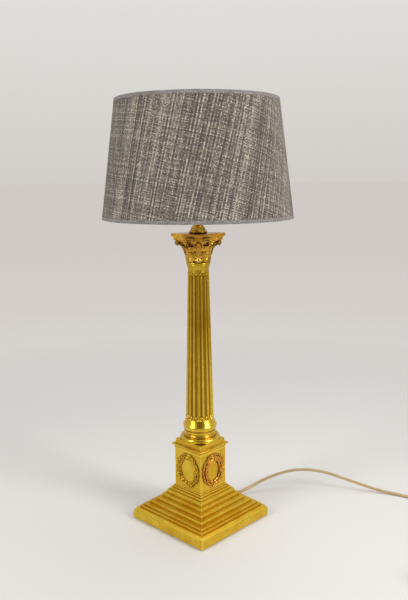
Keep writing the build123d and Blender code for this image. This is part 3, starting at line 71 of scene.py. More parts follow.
class Slot(Enum):
    """Finishes that the lamp's record names."""

    FELT = "felt"
    STEEL_PLATE = "steel_plate"
    BASE_BRASS = "base_brass"
    COLUMN_BRASS = "column_brass"
    CAPITAL_BRASS = "capital_brass"
    WREATH_BRASS = "wreath_brass"
    WREATH_COPPER = "wreath_copper"
    PLAIN_BRASS = "plain_brass"
    ZINC_STEEL = "zinc_steel"
    WHITE_CERAMIC = "white_ceramic"
    SOLDER = "solder"
    BLACK_GLASS = "black_glass"
    NICKEL_CAP = "nickel_cap"
    BULB_GLASS = "bulb_glass"
    FILAMENT = "filament"
    SHADE_FABRIC = "shade_fabric"
    SHADE_LINING = "shade_lining"
    EDGE_TAPE = "edge_tape"
    WHITE_WIRE = "white_wire"
    GOLD_PLASTIC = "gold_plastic"
    DARK_PLASTIC = "dark_plastic"
    GOLD_CORD = "gold_cord"


# ---------------------------------------------------------------- node graphs


class Value:
    """A number, vector or colour inside a node graph; plain arithmetic on it lays Math nodes."""

    def __init__(self, graph: "NodeGraph", socket: bpy.types.NodeSocket) -> None:
        """Keeps the graph and the output socket."""
        self.graph, self.socket = graph, socket

    def to(self, operation: str) -> "Value":
        """A Math operation on this alone, such as SINE or FLOOR."""
        return self.graph.math(operation, self)

    def __add__(self, other: Any) -> "Value":
        """This plus another."""
        return self.graph.math("ADD", self, other)

    def __sub__(self, other: Any) -> "Value":
        """This less another."""
        return self.graph.math("SUBTRACT", self, other)

    def __rsub__(self, other: Any) -> "Value":
        """Another less this."""
        return self.graph.math("SUBTRACT", other, self)

    def __mul__(self, other: Any) -> "Value":
        """This times another."""
        return self.graph.math("MULTIPLY", self, other)

    def __truediv__(self, other: Any) -> "Value":
        """This over another."""
        return self.graph.math("DIVIDE", self, other)

    def __rtruediv__(self, other: Any) -> "Value":
        """Another over this."""
        return self.graph.math("DIVIDE", other, self)

    def __mod__(self, other: Any) -> "Value":
        """What is left of this over another."""
        return self.graph.math("MODULO", self, other)

    def __pow__(self, other: Any) -> "Value":
        """This to a power."""
        return self.graph.math("POWER", self, other)

    __radd__, __rmul__ = __add__, __mul__


class NodeGraph:
    """A node tree being built, with the nodes that patterns and shapes have in common."""

    def __init__(self, tree: bpy.types.NodeTree) -> None:
        """Keeps the tree."""
        self.tree = tree

    def feed(self, socket: bpy.types.NodeSocket, value: Any) -> None:
        """Links a socket to another, or sets it to a number or colour."""
        if isinstance(value, Value):
            value = value.socket
        if isinstance(value, bpy.types.NodeSocket):
            self.tree.links.new(value, socket)
        elif isinstance(value, tuple) and socket.type == "RGBA":
            socket.default_value = (*value, 1.0)
        else:
            socket.default_value = value

    def add(self, kind: str, ins: dict[Any, Any] | None = None, **settings: Any) -> bpy.types.Node:
        """Adds a node; ins maps its inputs to values, and settings are its own properties."""
        node = self.tree.nodes.new(kind)
        for key, value in settings.items():
            setattr(node, key, value)
        for key, value in (ins or {}).items():
            self.feed(node.inputs[key], value)
        return node

    def get(
        self, kind: str, out: int | str = 0, ins: dict[Any, Any] | None = None, **settings: Any
    ) -> Value:
        """Adds a node as add does, and returns one of its outputs."""
        return Value(self, self.add(kind, ins, **settings).outputs[out])

    def math(self, operation: str, *values: Any) -> Value:
        """One Math node over its values."""
        return self.get("ShaderNodeMath", ins=dict(enumerate(values)), operation=operation)

    def between(
        self, value: Any, low: Any, high: Any, start: Any = 0.0, end: Any = 1.0, **settings: Any
    ) -> Value:
        """Maps a value from a range onto another, held at its ends."""
        ins = {"Value": value, "From Min": low, "From Max": high, "To Min": start, "To Max": end}
        return self.get("ShaderNodeMapRange", "Result", ins, **settings)

    def mix(self, share: Any, first: Any, second: Any, blend: str = "MIX") -> Value:
        """Mixes two colours by a share."""
        ins = {0: share, 6: first, 7: second}
        return self.get("ShaderNodeMix", 2, ins, data_type="RGBA", blend_type=blend)

    def vector(self, x: Any, y: Any, z: Any = 0.0) -> Value:
        """A vector from three values."""
        return self.get("ShaderNodeCombineXYZ", ins={0: x, 1: y, 2: z})

    def split(self, vector: Any) -> list[Value]:
        """The three parts of a vector."""
        return [Value(self, part) for part in self.add("ShaderNodeSeparateXYZ", {0: vector}).outputs]


class ShaderGraph(NodeGraph):
    """One node material with a Principled shader."""

    def __init__(self, name: str) -> None:
        """Makes a material of that name that holds only its shader."""
        self.material = bpy.data.materials.new(name)
        self.material.use_nodes = True
        super().__init__(self.material.node_tree)
        self.tree.nodes.clear()
        self.shader = self.add("ShaderNodeBsdfPrincipled")
        self.output = self.add("ShaderNodeOutputMaterial", {"Surface": self.shader.outputs["BSDF"]})

    def surface(self, **values: Any) -> bpy.types.Material:
        """Sets inputs of the Principled shader, as base_color=..., and returns the material."""
        for key, value in values.items():
            label = key.replace("_", " ").title().replace("Ior", "IOR")
            self.feed(self.shader.inputs[label], value)
        return self.material

    def ramp(self, value: Any, stops: Sequence[tuple[float, Colour]]) -> Value:
        """Colour ramp over a value."""
        node = self.add("ShaderNodeValToRGB", {"Fac": value})
        points = node.color_ramp.elements
        while len(points) < len(stops):
            points.new(1.0)
        for point, (place, colour) in zip(points, stops):
            point.position = place
            point.color = (*colour, 1.0)
        return Value(self, node.outputs["Color"])

    def place(self) -> Value:
        """Object coordinates, in metres."""
        return self.get("ShaderNodeTexCoord", "Object")

    def cloth_map(self) -> Value:
        """The piece's own UV map, in metres."""
        return self.get("ShaderNodeUVMap", "UV", uv_map="cloth")

    def stretch(self, vector: Any, scale: Point) -> Value:
        """A vector scaled along each axis."""
        return self.get("ShaderNodeMapping", "Vector", {"Vector": vector, "Scale": scale})

    def noise(self, vector: Any, scale: float = 1.0, detail: float = 2.0, rough: float = 0.5) -> Value:
        """Noise over a vector: a value about 0.5."""
        ins = {"Vector": vector, "Scale": scale, "Detail": detail, "Roughness": rough}
        return self.get("ShaderNodeTexNoise", 0, ins)

    def chance(self, *parts: Any) -> Value:
        """An even random number from 0 to 1 for each value of two numbers."""
        ins = {"Vector": self.vector(*parts)}
        return self.get("ShaderNodeTexWhiteNoise", "Value", ins, noise_dimensions="2D")

    def openness(self, reach: float, inside: bool = False) -> Value:
        """1 on open surfaces, less in hollows, or less near outer edges where inside is set."""
        settings = dict(samples=8, inside=inside, only_local=inside)
        return self.get("ShaderNodeAmbientOcclusion", "AO", {"Distance": reach}, **settings)

    def attribute(self, name: str) -> Value:
        """A number kept on the mesh."""
        return self.get("ShaderNodeAttribute", "Fac", attribute_name=name)

    def bump(self, height: Any, depth: float) -> Value:
        """Bump normal from a height of 0 to 1 that stands for a depth in metres."""
        return self.get("ShaderNodeBump", "Normal", {"Strength": 1.0, "Distance": depth, "Height": height})


# ---------------------------------------------------------------- finishes


@dataclass(frozen=True)
class BrassFinish:
    """Cast or turned brass: bright where open, worn at edges with a painted highlight, with patina and
    painted shade in hollows.
    """

    name: str
    bright: Colour
    warm: Colour
    deep: Colour
    roughness: float = 0.28
    hollow_reach: float = 0.006
    hollow_floor: float = 0.35
    streak_scale: Point = (26.0, 26.0, 340.0)
    grain_depth: float = 0.00005
    edge_reach: float = 0.0
    painted_shade_by: str = ""
    darker_up: Pair = (0.0, 0.0)
    darker_tint: Colour = (0.74, 0.72, 0.58)
    cloud_scale: float = 22.0
    mottle_scale: float = 260.0

    def material(self) -> bpy.types.Material:
        """Builds the metal's nodes."""
        graph = ShaderGraph(self.name)
        place = graph.place()
        clouds = graph.noise(place, self.cloud_scale, 4.0, 0.6)
        streaks = graph.noise(graph.stretch(place, self.streak_scale), 1.0, 3.0, 0.6)
        mottle = graph.noise(place, self.mottle_scale, 3.0, 0.6)
        tone = graph.mix(graph.between(clouds, 0.42, 0.66), self.bright, self.warm)
        tone = graph.mix(graph.between(streaks, 0.5, 0.72, 0.0, 0.45), tone, self.warm)
        hollow = graph.between(graph.openness(self.hollow_reach), self.hollow_floor, 0.92)
        # painted shade: darker where the named depth attribute is high, down the middle of each flute
        if self.painted_shade_by:
            hollow = hollow * graph.between(graph.attribute(self.painted_shade_by), 0.45, 0.95, 1.0, 0.15)
        # patina and painted shade: darker in the hollows, broken up by mottle; this share is 1 on open
        # metal
        patina_and_painted_shade = hollow * graph.between(mottle, 0.3, 0.6, 0.82, 1.0)
        tone = graph.mix(patina_and_painted_shade, self.deep, tone)
        # painted shade: the metal darker towards the top, between the two heights of darker_up
        if self.darker_up[1] > 0.0:
            painted_shade_up = graph.between(graph.split(place)[2], *self.darker_up)
            tone = graph.mix(painted_shade_up, tone, graph.mix(1.0, tone, self.darker_tint, "MULTIPLY"))
        # wear and a painted highlight: lighter along the outer edges
        if self.edge_reach > 0.0:
            wear_and_highlight = graph.between(graph.openness(self.edge_reach, inside=True), 0.66, 0.9, 0.9, 0.0)
            tone = graph.mix(wear_and_highlight, tone, tuple(min(1.0, 1.3 * c + 0.05) for c in self.bright))
        rough = graph.between(clouds + streaks, 0.7, 1.3, self.roughness * 0.75, self.roughness * 1.35)
        return graph.surface(
            base_color=tone,
            metallic=1.0,
            roughness=rough + graph.between(patina_and_painted_shade, 0.0, 0.7, 0.22, 0.0),
            normal=graph.bump(mottle * 0.7 + streaks * 0.5, self.grain_depth),
        )


@dataclass(frozen=True)
class PaintedFinish:
    """Paint, powder coat, plastic or ceramic: one colour with slight clouds, specks and grain, and painted
    shade in hollows.
    """

    name: str
    colour: Colour
    shade: Colour
    roughness: float = 0.4
    grain_scale: float = 700.0
    grain_depth: float = 0.00003
    coat: float = 0.0
    hollow_reach: float = 0.004

    def material(self) -> bpy.types.Material:
        """Builds the coat's nodes."""
        graph = ShaderGraph(self.name)
        place = graph.place()
        clouds = graph.noise(place, 35.0, 3.0)
        grain = graph.noise(place, self.grain_scale, 3.0, 0.6)
        hollow = graph.between(graph.openness(self.hollow_reach), 0.35, 0.9)
        tone = graph.mix(graph.between(clouds, 0.35, 0.7, 0.0, 0.6), self.colour, self.shade)
        tone = graph.mix(graph.between(grain, 0.55, 0.75, 0.0, 0.25), tone, self.shade)
        # painted shade: darker in the hollows
        tone = graph.mix(hollow, tuple(0.55 * c for c in self.shade), tone)
        return graph.surface(
            base_color=tone,
            roughness=graph.between(grain, 0.3, 0.7, self.roughness * 0.85, self.roughness * 1.2),
            coat_weight=self.coat,
            coat_roughness=0.12,
            normal=graph.bump(grain, self.grain_depth),
        )


@dataclass(frozen=True)
class PlatedFinish:
    """Plated or plain steel: pale metal with fine turning lines and faint spots."""

    name: str
    colour: Colour
    spot: Colour
    roughness: float = 0.25
    line_scale: Point = (60.0, 60.0, 1600.0)
    line_depth: float = 0.00002

    def material(self) -> bpy.types.Material:
        """Builds the plate's nodes."""
        graph = ShaderGraph(self.name)
        place = graph.place()
        lines = graph.noise(graph.stretch(place, self.line_scale), 1.0, 3.0, 0.6)
        spots = graph.noise(place, 420.0, 3.0, 0.6)
        return graph.surface(
            base_color=graph.mix(graph.between(spots, 0.52, 0.7, 0.0, 0.6), self.colour, self.spot),
            metallic=1.0,
            roughness=graph.between(lines, 0.35, 0.65, self.roughness * 0.8, self.roughness * 1.3),
            normal=graph.bump(lines, self.line_depth),
        )


@dataclass(frozen=True)
class GlassFinish:
    """Clear blown glass with faint waves and a little dust."""

    name: str
    tint: Colour = (0.97, 0.975, 0.97)
    dusty: Colour = (0.86, 0.85, 0.82)
    wave_depth: float = 0.00004

    def material(self) -> bpy.types.Material:
        """Builds the glass's nodes."""
        graph = ShaderGraph(self.name)
        place = graph.place()
        waves = graph.noise(place, 45.0)
        dust = graph.noise(place, 600.0, 4.0, 0.7)
        return graph.surface(
            base_color=graph.mix(graph.between(dust, 0.58, 0.75, 0.0, 0.4), self.tint, self.dusty),
            roughness=graph.between(dust, 0.45, 0.75, 0.01, 0.12),
            transmission_weight=1.0,
            ior=1.46,
            normal=graph.bump(waves, self.wave_depth),
        )


EVEN_SHIFT = 20000.0  # even, and keeps a thread's number above 0 where every other one is picked


@dataclass(frozen=True)
class ThreadSet:
    """Parallel threads of the weave: their pitch, and how much each kind of unevenness counts."""

    pitch: float
    seed: float
    own: float
    slub: float
    nub: float
    paired: float
    slub_scale: float = 30.0
    nub_scale: float = 300.0

    def laid(self, graph: ShaderGraph, across: Value, along: Value) -> tuple[Value, Value, Value]:
        """Lays the threads.

        Args:
            graph: the material's graph.
            across: place across the threads, in metres.
            along: place along the threads, in metres.

        Returns:
            The thread's number, its tone about 0.5 and its round height from 0 to 1.
        """
        count = across / self.pitch
        number = count.to("FLOOR")
        slub = graph.noise(graph.vector(number * 5.37, along * self.slub_scale, self.seed))
        nub = graph.noise(graph.vector(number * 3.11, along * self.nub_scale, self.seed))
        tone = (graph.chance(number, self.seed) - 0.5) * self.own + 0.5
        tone = (nub - 0.5) * self.nub + ((slub - 0.5) * self.slub + tone)
        tone = tone + graph.between((number + EVEN_SHIFT) % 2.0, 0.0, 1.0, -self.paired, self.paired)
        return number, tone, ((count.to("FRACT") - 0.5) * (pi * 0.92)).to("COSINE")


@dataclass(frozen=True)
class SlubWeaveFinish:
    """Coarse slub weave on the cloth map: uneven threads both ways, one over the other."""

    name: str
    warp: ThreadSet = ThreadSet(0.0027, 3.7, 0.6, 0.7, 1.0, 0.1)
    weft: ThreadSet = ThreadSet(0.0020, 8.2, 0.6, 0.8, 1.2, 0.15)
    tones: tuple[tuple[float, Colour], ...] = (
        (0.10, (0.075, 0.062, 0.055)), (0.34, (0.135, 0.115, 0.098)), (0.52, (0.205, 0.176, 0.146)),
        (0.72, (0.34, 0.305, 0.25)), (0.98, (0.56, 0.53, 0.43)),
    )
    bluish_tint: Colour = (0.95, 0.94, 1.08)
    sway: float = 0.006
    speckle: float = 0.16
    thread_height: float = 0.0005

    def material(self) -> bpy.types.Material:
        """Builds the weave's nodes."""
        graph = ShaderGraph(self.name)
        cloth = graph.cloth_map()
        x, y, _ = graph.split(cloth)

        def drawn(across: float, along: float, detail: float = 2.0, rough: float = 0.5) -> Value:
            """Noise over the cloth, drawn out along one way."""
            return graph.noise(graph.stretch(cloth, (across, along, 1.0)), 1.0, detail, rough)

        swayed = x + (drawn(30.0, 7.0) - 0.5) * self.sway
        dipped = y + (drawn(9.0, 30.0) - 0.5) * self.sway
        warp_number, warp_tone, warp_round = self.warp.laid(graph, swayed, y)
        weft_number, weft_tone, weft_round = self.weft.laid(graph, dipped, x)
        bands = drawn(95.0, 9.0, 3.0, 0.6)
        warp_tone = warp_tone + graph.between(drawn(420.0, 13.0), 0.56, 0.70, 0.0, 0.30)
        warp_tone = warp_tone - graph.between(drawn(380.0, 17.0), 0.56, 0.70, 0.0, 0.22)
        over = graph.between((warp_number + weft_number + EVEN_SHIFT) % 2.0, 0.0, 1.0, 0.3, 0.88)
        value = graph.get("ShaderNodeMix", 0, {0: over, 2: weft_tone, 3: warp_tone}, data_type="FLOAT")
        paler = graph.between(drawn(5.0, 4.0, 1.0), 0.35, 0.65, -0.03, 0.03)
        value = value + (graph.between(bands, 0.3, 0.7, -0.05, 0.05) + paler)
        cell = graph.chance(warp_number * 17.31 + weft_number * 5.77, 1.9)
        value = value + graph.between(cell, 0.0, 1.0, -self.speckle, self.speckle)
        height = warp_round * weft_round
        # painted shade: darker between the threads, lighter on their round tops
        colour = graph.ramp(value + graph.between(height, 0.0, 0.8, -0.26, 0.1), self.tones)
        bluish = graph.mix(1.0, colour, self.bluish_tint, "MULTIPLY")
        colour = graph.mix(graph.between(bands, 0.35, 0.5, 0.5, 0.0), colour, bluish)
        # painted shadow: darker in hollows under the tapes' edges and along the lap's edge
        painted_shadow_share = graph.between(graph.openness(0.0035), 0.55, 0.93, 0.38, 1.0)
        painted_shadow_share = painted_shadow_share * graph.between(graph.attribute("lap_edge"), 0.45, 0.8, 1.0, 0.45)
        fuzz = graph.noise(cloth, 2600.0)
        return graph.surface(
            base_color=graph.mix(1.0, colour, graph.vector(painted_shadow_share, painted_shadow_share, painted_shadow_share), "MULTIPLY"),
            roughness=0.9,
            specular_ior_level=0.25,
            sheen_weight=0.12,
            sheen_roughness=0.5,
            normal=graph.bump(height + fuzz * 0.35 + warp_tone * 0.6, self.thread_height),
        )


@dataclass(frozen=True)
class RibbedTapeFinish:
    """Grey woven tape with fine ribs across it, on the cloth map."""

    name: str
    colour: Colour = (0.42, 0.385, 0.375)
    dark: Colour = (0.12, 0.108, 0.106)
    rib_pitch: float = 0.0011
    thread_pitch: float = 0.00045
    rib_height: float = 0.00012

    def material(self) -> bpy.types.Material:
        """Builds the tape's nodes."""
        graph = ShaderGraph(self.name)
        cloth = graph.cloth_map()
        x, y, _ = graph.split(cloth)
        rib = (x * (2 * pi / self.rib_pitch)).to("SINE")
        thread = (y * (2 * pi / self.thread_pitch)).to("SINE")
        uneven = graph.noise(graph.stretch(cloth, (340.0, 260.0, 1.0)), 1.0, 3.0)
        clouds = graph.noise(graph.stretch(cloth, (30.0, 60.0, 1.0)), 1.0, 3.0)
        # painted shade: the ribs' height also darkens the colour in the grooves between them
        tone = rib * 0.16 + uneven * 0.9 + clouds * 0.4
        return graph.surface(
            base_color=graph.mix(graph.between(tone, 0.42, 0.95), self.dark, self.colour),
            roughness=0.8,
            sheen_weight=0.1,
            sheen_roughness=0.4,
            normal=graph.bump(rib + thread * 0.3, self.rib_height),
        )


@dataclass(frozen=True)
class FeltFinish:
    """Pressed wool felt: matted short fibres."""

    name: str
    colour: Colour = (0.035, 0.075, 0.045)
    pale: Colour = (0.08, 0.14, 0.09)
    nap_depth: float = 0.0004

    def material(self) -> bpy.types.Material:
        """Builds the felt's nodes."""
        graph = ShaderGraph(self.name)
        place = graph.place()
        fibres = graph.noise(place, 900.0, 5.0, 0.7)
        tufts = graph.noise(place, 130.0, 3.0)
        return graph.surface(
            base_color=graph.mix(graph.between(fibres + tufts, 0.8, 1.3), self.colour, self.pale),
            roughness=1.0,
            sheen_weight=0.3,
            sheen_roughness=0.6,
            normal=graph.bump(fibres, self.nap_depth),
        )


@dataclass(frozen=True)
class FlexFinish:
    """Gold-brown sheath of the flex: soft gloss, slight clouds and faint scuffs."""

    name: str
    colour: Colour = (0.50, 0.36, 0.175)
    scuffed: Colour = (0.62, 0.49, 0.30)
    shade: Colour = (0.30, 0.20, 0.09)
    scuff_depth: float = 0.00006

    def material(self) -> bpy.types.Material:
        """Builds the sheath's nodes."""
        graph = ShaderGraph(self.name)
        place = graph.place()
        clouds = graph.noise(place, 60.0, 3.0)
        scuffs = graph.noise(place, 900.0, 3.0, 0.65)
        tone = graph.mix(graph.between(clouds, 0.35, 0.65, 0.0, 0.5), self.colour, self.scuffed)
        return graph.surface(
            base_color=graph.mix(graph.between(scuffs, 0.5, 0.72, 0.0, 0.5), tone, self.shade),
            metallic=0.25,
            roughness=graph.between(scuffs, 0.3, 0.7, 0.3, 0.5),
            normal=graph.bump(scuffs, self.scuff_depth),
        )


ROUND_STREAKS = (90.0, 90.0, 90.0)
FINISHES = {
    Slot.BASE_BRASS: BrassFinish(
        "base_brass", (0.83, 0.572, 0.058), (0.69, 0.40, 0.018), (0.38, 0.20, 0.015),
        roughness=0.36, hollow_reach=0.0018, edge_reach=0.0014,
    ),
    Slot.COLUMN_BRASS: BrassFinish(
        "column_brass", (0.85, 0.58, 0.06), (0.68, 0.42, 0.035), (0.20, 0.09, 0.009),
        roughness=0.28, hollow_reach=0.0035, hollow_floor=0.3, painted_shade_by="flute_depth",
        streak_scale=(120.0, 120.0, 14.0), darker_up=(0.25, 0.40),
    ),
    Slot.CAPITAL_BRASS: BrassFinish(
        "capital_brass", (0.74, 0.45, 0.055), (0.50, 0.22, 0.025), (0.11, 0.04, 0.008),
        roughness=0.22, hollow_reach=0.0026, hollow_floor=0.34, streak_scale=ROUND_STREAKS,
        grain_depth=0.0004,
    ),
    Slot.WREATH_BRASS: BrassFinish(
        "wreath_brass", (0.82, 0.55, 0.055), (0.76, 0.47, 0.035), (0.40, 0.21, 0.02),
        roughness=0.36, hollow_reach=0.0015, hollow_floor=0.15, streak_scale=ROUND_STREAKS,
        grain_depth=0.0001,
    ),
    Slot.WREATH_COPPER: BrassFinish(
        "wreath_copper", (0.88, 0.50, 0.085), (0.76, 0.37, 0.045), (0.29, 0.11, 0.016),
        roughness=0.36, hollow_reach=0.0018, hollow_floor=0.18, streak_scale=ROUND_STREAKS,
        grain_depth=0.0001,
    ),
    Slot.PLAIN_BRASS: BrassFinish(
        "plain_brass", (0.72, 0.49, 0.12), (0.60, 0.37, 0.07), (0.22, 0.12, 0.03),
        roughness=0.16, hollow_reach=0.004,
    ),
    Slot.STEEL_PLATE: PaintedFinish("black_painted_steel", (0.02, 0.02, 0.02), (0.035, 0.034, 0.033), 0.45),
    Slot.ZINC_STEEL: PlatedFinish("zinc_plated_steel", (0.62, 0.63, 0.65), (0.45, 0.46, 0.50), 0.32),
    Slot.NICKEL_CAP: PlatedFinish("nickel_plated_cap", (0.66, 0.64, 0.60), (0.5, 0.48, 0.45), 0.2),
    Slot.SOLDER: PlatedFinish("solder", (0.5, 0.5, 0.5), (0.3, 0.3, 0.3), 0.45, (300.0, 300.0, 300.0)),
    Slot.WHITE_CERAMIC: PaintedFinish(
        "white_ceramic", (0.80, 0.78, 0.73), (0.68, 0.65, 0.59), 0.22, 300.0, coat=0.4,
    ),
    Slot.BLACK_GLASS: PaintedFinish("black_glass", (0.012, 0.012, 0.013), (0.03, 0.03, 0.03), 0.12, 200.0),
    Slot.BULB_GLASS: GlassFinish("bulb_glass"),
    Slot.FILAMENT: PaintedFinish(
        "filament_coating", (0.85, 0.62, 0.16), (0.70, 0.47, 0.09), 0.6, 1500.0, 0.0001,
    ),
    Slot.SHADE_FABRIC: SlubWeaveFinish("slub_weave"),
    Slot.SHADE_LINING: PaintedFinish(
        "white_laminate", (0.76, 0.73, 0.68), (0.68, 0.65, 0.59), 0.55, 1200.0, 0.00005,
    ),
    Slot.EDGE_TAPE: RibbedTapeFinish("ribbed_tape"),
    Slot.WHITE_WIRE: PaintedFinish(
        "white_powder_coat", (0.74, 0.73, 0.70), (0.62, 0.60, 0.56), 0.4, 900.0, 0.00008,
    ),
    Slot.GOLD_PLASTIC: PaintedFinish(
        "gold_plastic", (0.38, 0.25, 0.085), (0.30, 0.19, 0.06), 0.3, 1100.0, 0.00005, 0.2,
    ),
    Slot.DARK_PLASTIC: PaintedFinish(
        "dark_gold_plastic", (0.16, 0.10, 0.035), (0.11, 0.065, 0.022), 0.32, 1100.0, 0.00005, 0.2,
    ),
    Slot.GOLD_CORD: FlexFinish("gold_flex"),
    Slot.FELT: FeltFinish("green_felt"),
}
POLISHED = BrassFinish(
    "polished_brass", (0.78, 0.52, 0.08), (0.44, 0.23, 0.02), (0.08, 0.035, 0.008),
    roughness=0.06, hollow_reach=0.006,
)
POLISHED_NODES = ("vase_cap", "stem_sleeve")


class Wardrobe:
    """Every finish of the lamp, built once and handed out by its slot."""

    def __init__(self) -> None:
        """Builds the finishes."""
        self.materials = {slot: finish.material() for slot, finish in FINISHES.items()}
        self.polished = dict.fromkeys(POLISHED_NODES, POLISHED.material())

    def dress(self, piece: bpy.types.Object, slot: Slot) -> None:
        """Gives a new piece its finish."""
        piece.data.materials.clear()
        piece.data.materials.append(self.materials[slot])

    def dress_solids(self) -> None:
        """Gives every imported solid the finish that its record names."""
        for part in frame["record"]["subparts"]:
            solid = frame["nodes"][part["node"]]
            material = self.polished.get(part["node"], self.materials[Slot(part["material_slot"])])
            if not solid.material_slots:
                solid.data.materials.append(material)
            for holder in solid.material_slots:
                holder.material = material


# ---------------------------------------------------------------- making meshes


def placed(name: str, mesh: bpy.types.Mesh, sharp: float = 0.0) -> bpy.types.Object:
    """Puts a mesh into the scene as a piece at the origin.

    Args:
        name: the piece's name.
        mesh: its finished mesh, in place.
        sharp: edges that turn by more degrees than this stay sharp; 0 leaves the faces as they are.

    Returns:
        The piece.
    """
    if sharp > 0.0:
        mesh.shade_smooth()
        mesh.set_sharp_from_angle(angle=radians(sharp))
    piece = bpy.data.objects.new(name, mesh)
    bpy.context.scene.collection.objects.link(piece)
    log.info("made %s with %d faces", name, len(mesh.polygons))
    return piece


def plain_mesh(piece: bpy.types.Object) -> bpy.types.Mesh:
    """The mesh of an object with its modifiers worked in; the object itself goes."""
    scene_graph = bpy.context.evaluated_depsgraph_get()
    scene_graph.update()
    mesh = bpy.data.meshes.new_from_object(
        piece.evaluated_get(scene_graph), preserve_all_data_layers=True, depsgraph=scene_graph
    )
    bpy.data.objects.remove(piece)
    return mesh


def mesh_of(shape: bmesh.types.BMesh, name: str, recalculate: bool = True) -> bpy.types.Mesh:
    """Turns an edit mesh into a mesh, with its doubles merged and its faces outwards."""
    if recalculate:
        bmesh.ops.remove_doubles(shape, verts=shape.verts, dist=1e-6)
        bmesh.ops.recalc_face_normals(shape, faces=shape.faces)
    mesh = bpy.data.meshes.new(name)
    shape.to_mesh(mesh)
    shape.free()
    return mesh


def joined_mesh(name: str, meshes: Iterable[tuple[bpy.types.Mesh, Matrix]]) -> bpy.types.Mesh:
    """Joins copies of meshes, each moved by its matrix."""
    shape = bmesh.new()
    for mesh, move in meshes:
        copy = mesh.copy()
        copy.transform(move)
        shape.from_mesh(copy)
        bpy.data.meshes.remove(copy)
    return mesh_of(shape, name, recalculate=False)


def smooth_line(points: Sequence[Sequence[float]], count: int) -> list[Vector]:
    """Points spread along a smooth line through the given ones.

    Args:
        points: points in two or three dimensions.
        count: how many to return.

    Returns:
        The points, the two ends among them.
    """
    marks = [Vector(p) for p in points]
    marks = [2 * marks[0] - marks[1], *marks, 2 * marks[-1] - marks[-2]]
    line = []
    for index in range(count):
        at = index / (count - 1) * (len(marks) - 3)
        step = min(int(at), len(marks) - 4)
        t = at - step
        a, b, c, d = marks[step : step + 4]
        bent, twisted = (2 * a - 5 * b + 4 * c - d) * t**2, (3 * b - a - 3 * c + d) * t**3
        line.append(0.5 * (2 * b + (c - a) * t + bent + twisted))
    return line


def lofted(rings: Sequence[Sequence[Point]], name: str, caps: bool = True) -> bpy.types.Mesh:
    """Surface through closed rings of equally many points.

    Args:
        rings: the rings, in order.
        name: the mesh's name.
        caps: whether the first and last ring are filled; otherwise the last joins the first.

    Returns:
        The closed mesh.
    """
    shape = bmesh.new()
    rows = [[shape.verts.new(p) for p in ring] for ring in rings]
    size = len(rows[0])
    pairs = list(zip(rows, rows[1:])) + ([] if caps else [(rows[-1], rows[0])])
    for lower, upper in pairs:
        for index in range(size):
            following = (index + 1) % size
            shape.faces.new((lower[index], lower[following], upper[following], upper[index]))
    if caps:
        shape.faces.new(rows[0])
        shape.faces.new(rows[-1])
    return mesh_of(shape, name)


def strip(
    path: Sequence[Vector], half_width: float, thickness: float, rim: float, name: str
) -> bpy.types.Mesh:
    """Band along a path in the XZ plane, with raised rims and closed ends, as on a scroll.

    Args:
        path: the points of its back, in the XZ plane.
        half_width: half its width along Y.
        thickness: its thickness.
        rim: how far its rims stand up.
        name: the mesh's name.

    Returns:
        The mesh.
    """
    top = 1.0 + rim
    section = (
        (-1.0, 0.0), (-1.0, top), (-0.72, top), (-0.5, 1.0),
        (0.5, 1.0), (0.72, top), (1.0, top), (1.0, 0.0),
    )
    rings = []
    for index, point in enumerate(path):
        ahead = path[min(index + 1, len(path) - 1)] - path[max(index - 1, 0)]
        out = Vector((-ahead.z, 0.0, ahead.x)).normalized()
        rings.append([
            tuple(point + out * thickness * up + Vector((0, half_width * side, 0))) for side, up in section
        ])
    return lofted(rings, name)


# ---------------------------------------------------------------- geometry trees


class GeometryTree(NodeGraph):
    """Geometry Nodes tree with named inputs, ending in Realize Instances and Set Material."""

    def __init__(self, name: str) -> None:
        """Makes an empty tree of that name."""
        self.name = name
        super().__init__(bpy.data.node_groups.new(name, "GeometryNodeTree"))
        for way in ("OUTPUT", "INPUT"):
            self.tree.interface.new_socket("Geometry", in_out=way, socket_type="NodeSocketGeometry")
        self.source = self.add("NodeGroupInput")
        self.sink = self.add("NodeGroupOutput")
        self.values: dict[str, Any] = {}

    def size(self, name: str, value: Any) -> Value:
        """A named input of the tree, as a value inside."""
        kinds = {int: "NodeSocketInt", float: "NodeSocketFloat"}
        kind = kinds.get(type(value), "NodeSocketMaterial")
        socket = self.tree.interface.new_socket(name, in_out="INPUT", socket_type=kind)
        self.values[socket.identifier] = value
        return Value(self, self.source.outputs[name])

    def chance(self, low: float, high: float, seed: int) -> Value:
        """A random number for each point, the same each run."""
        return self.get("FunctionNodeRandomValue", 1, {2: low, 3: high, "Seed": seed}, data_type="FLOAT")

    def position(self) -> list[Value]:
        """The three parts of each point's place."""
        return self.split(self.get("GeometryNodeInputPosition"))

    def moved(self, geometry: Any, place: Any) -> Value:
        """Puts each point at a place."""
        return self.get("GeometryNodeSetPosition", ins={"Geometry": geometry, "Position": place})

    def copies(self, points: Any, instance: Any, **ins: Any) -> Value:
        """A copy of the instance on each point; Rotation and Scale may be given."""
        return self.get("GeometryNodeInstanceOnPoints", ins={"Points": points, "Instance": instance, **ins})

    def mesh(
        self, geometry: Any, material: bpy.types.Material, template: bpy.types.Mesh | None = None
    ) -> bpy.types.Mesh:
        """Ends the tree, runs it once and returns its plain mesh.

        Args:
            geometry: the finished geometry.
            material: the finish that it carries.
            template: the mesh that comes in at Geometry, if any.

        Returns:
            The plain mesh, with the modifier gone.
        """
        finish = self.size("Finish", material)
        real = self.get("GeometryNodeRealizeInstances", ins={"Geometry": geometry})
        dressed = self.get("GeometryNodeSetMaterial", ins={"Geometry": real, "Material": finish})
        self.feed(self.sink.inputs["Geometry"], dressed)
        host = bpy.data.objects.new(self.name, template or bpy.data.meshes.new(self.name))
        bpy.context.scene.collection.objects.link(host)
        modifier = host.modifiers.new(self.name, "NODES")
        modifier.node_group = self.tree
        for identifier, value in self.values.items():
            modifier[identifier] = value
        return plain_mesh(host)


# ---------------------------------------------------------------- base and pedestal


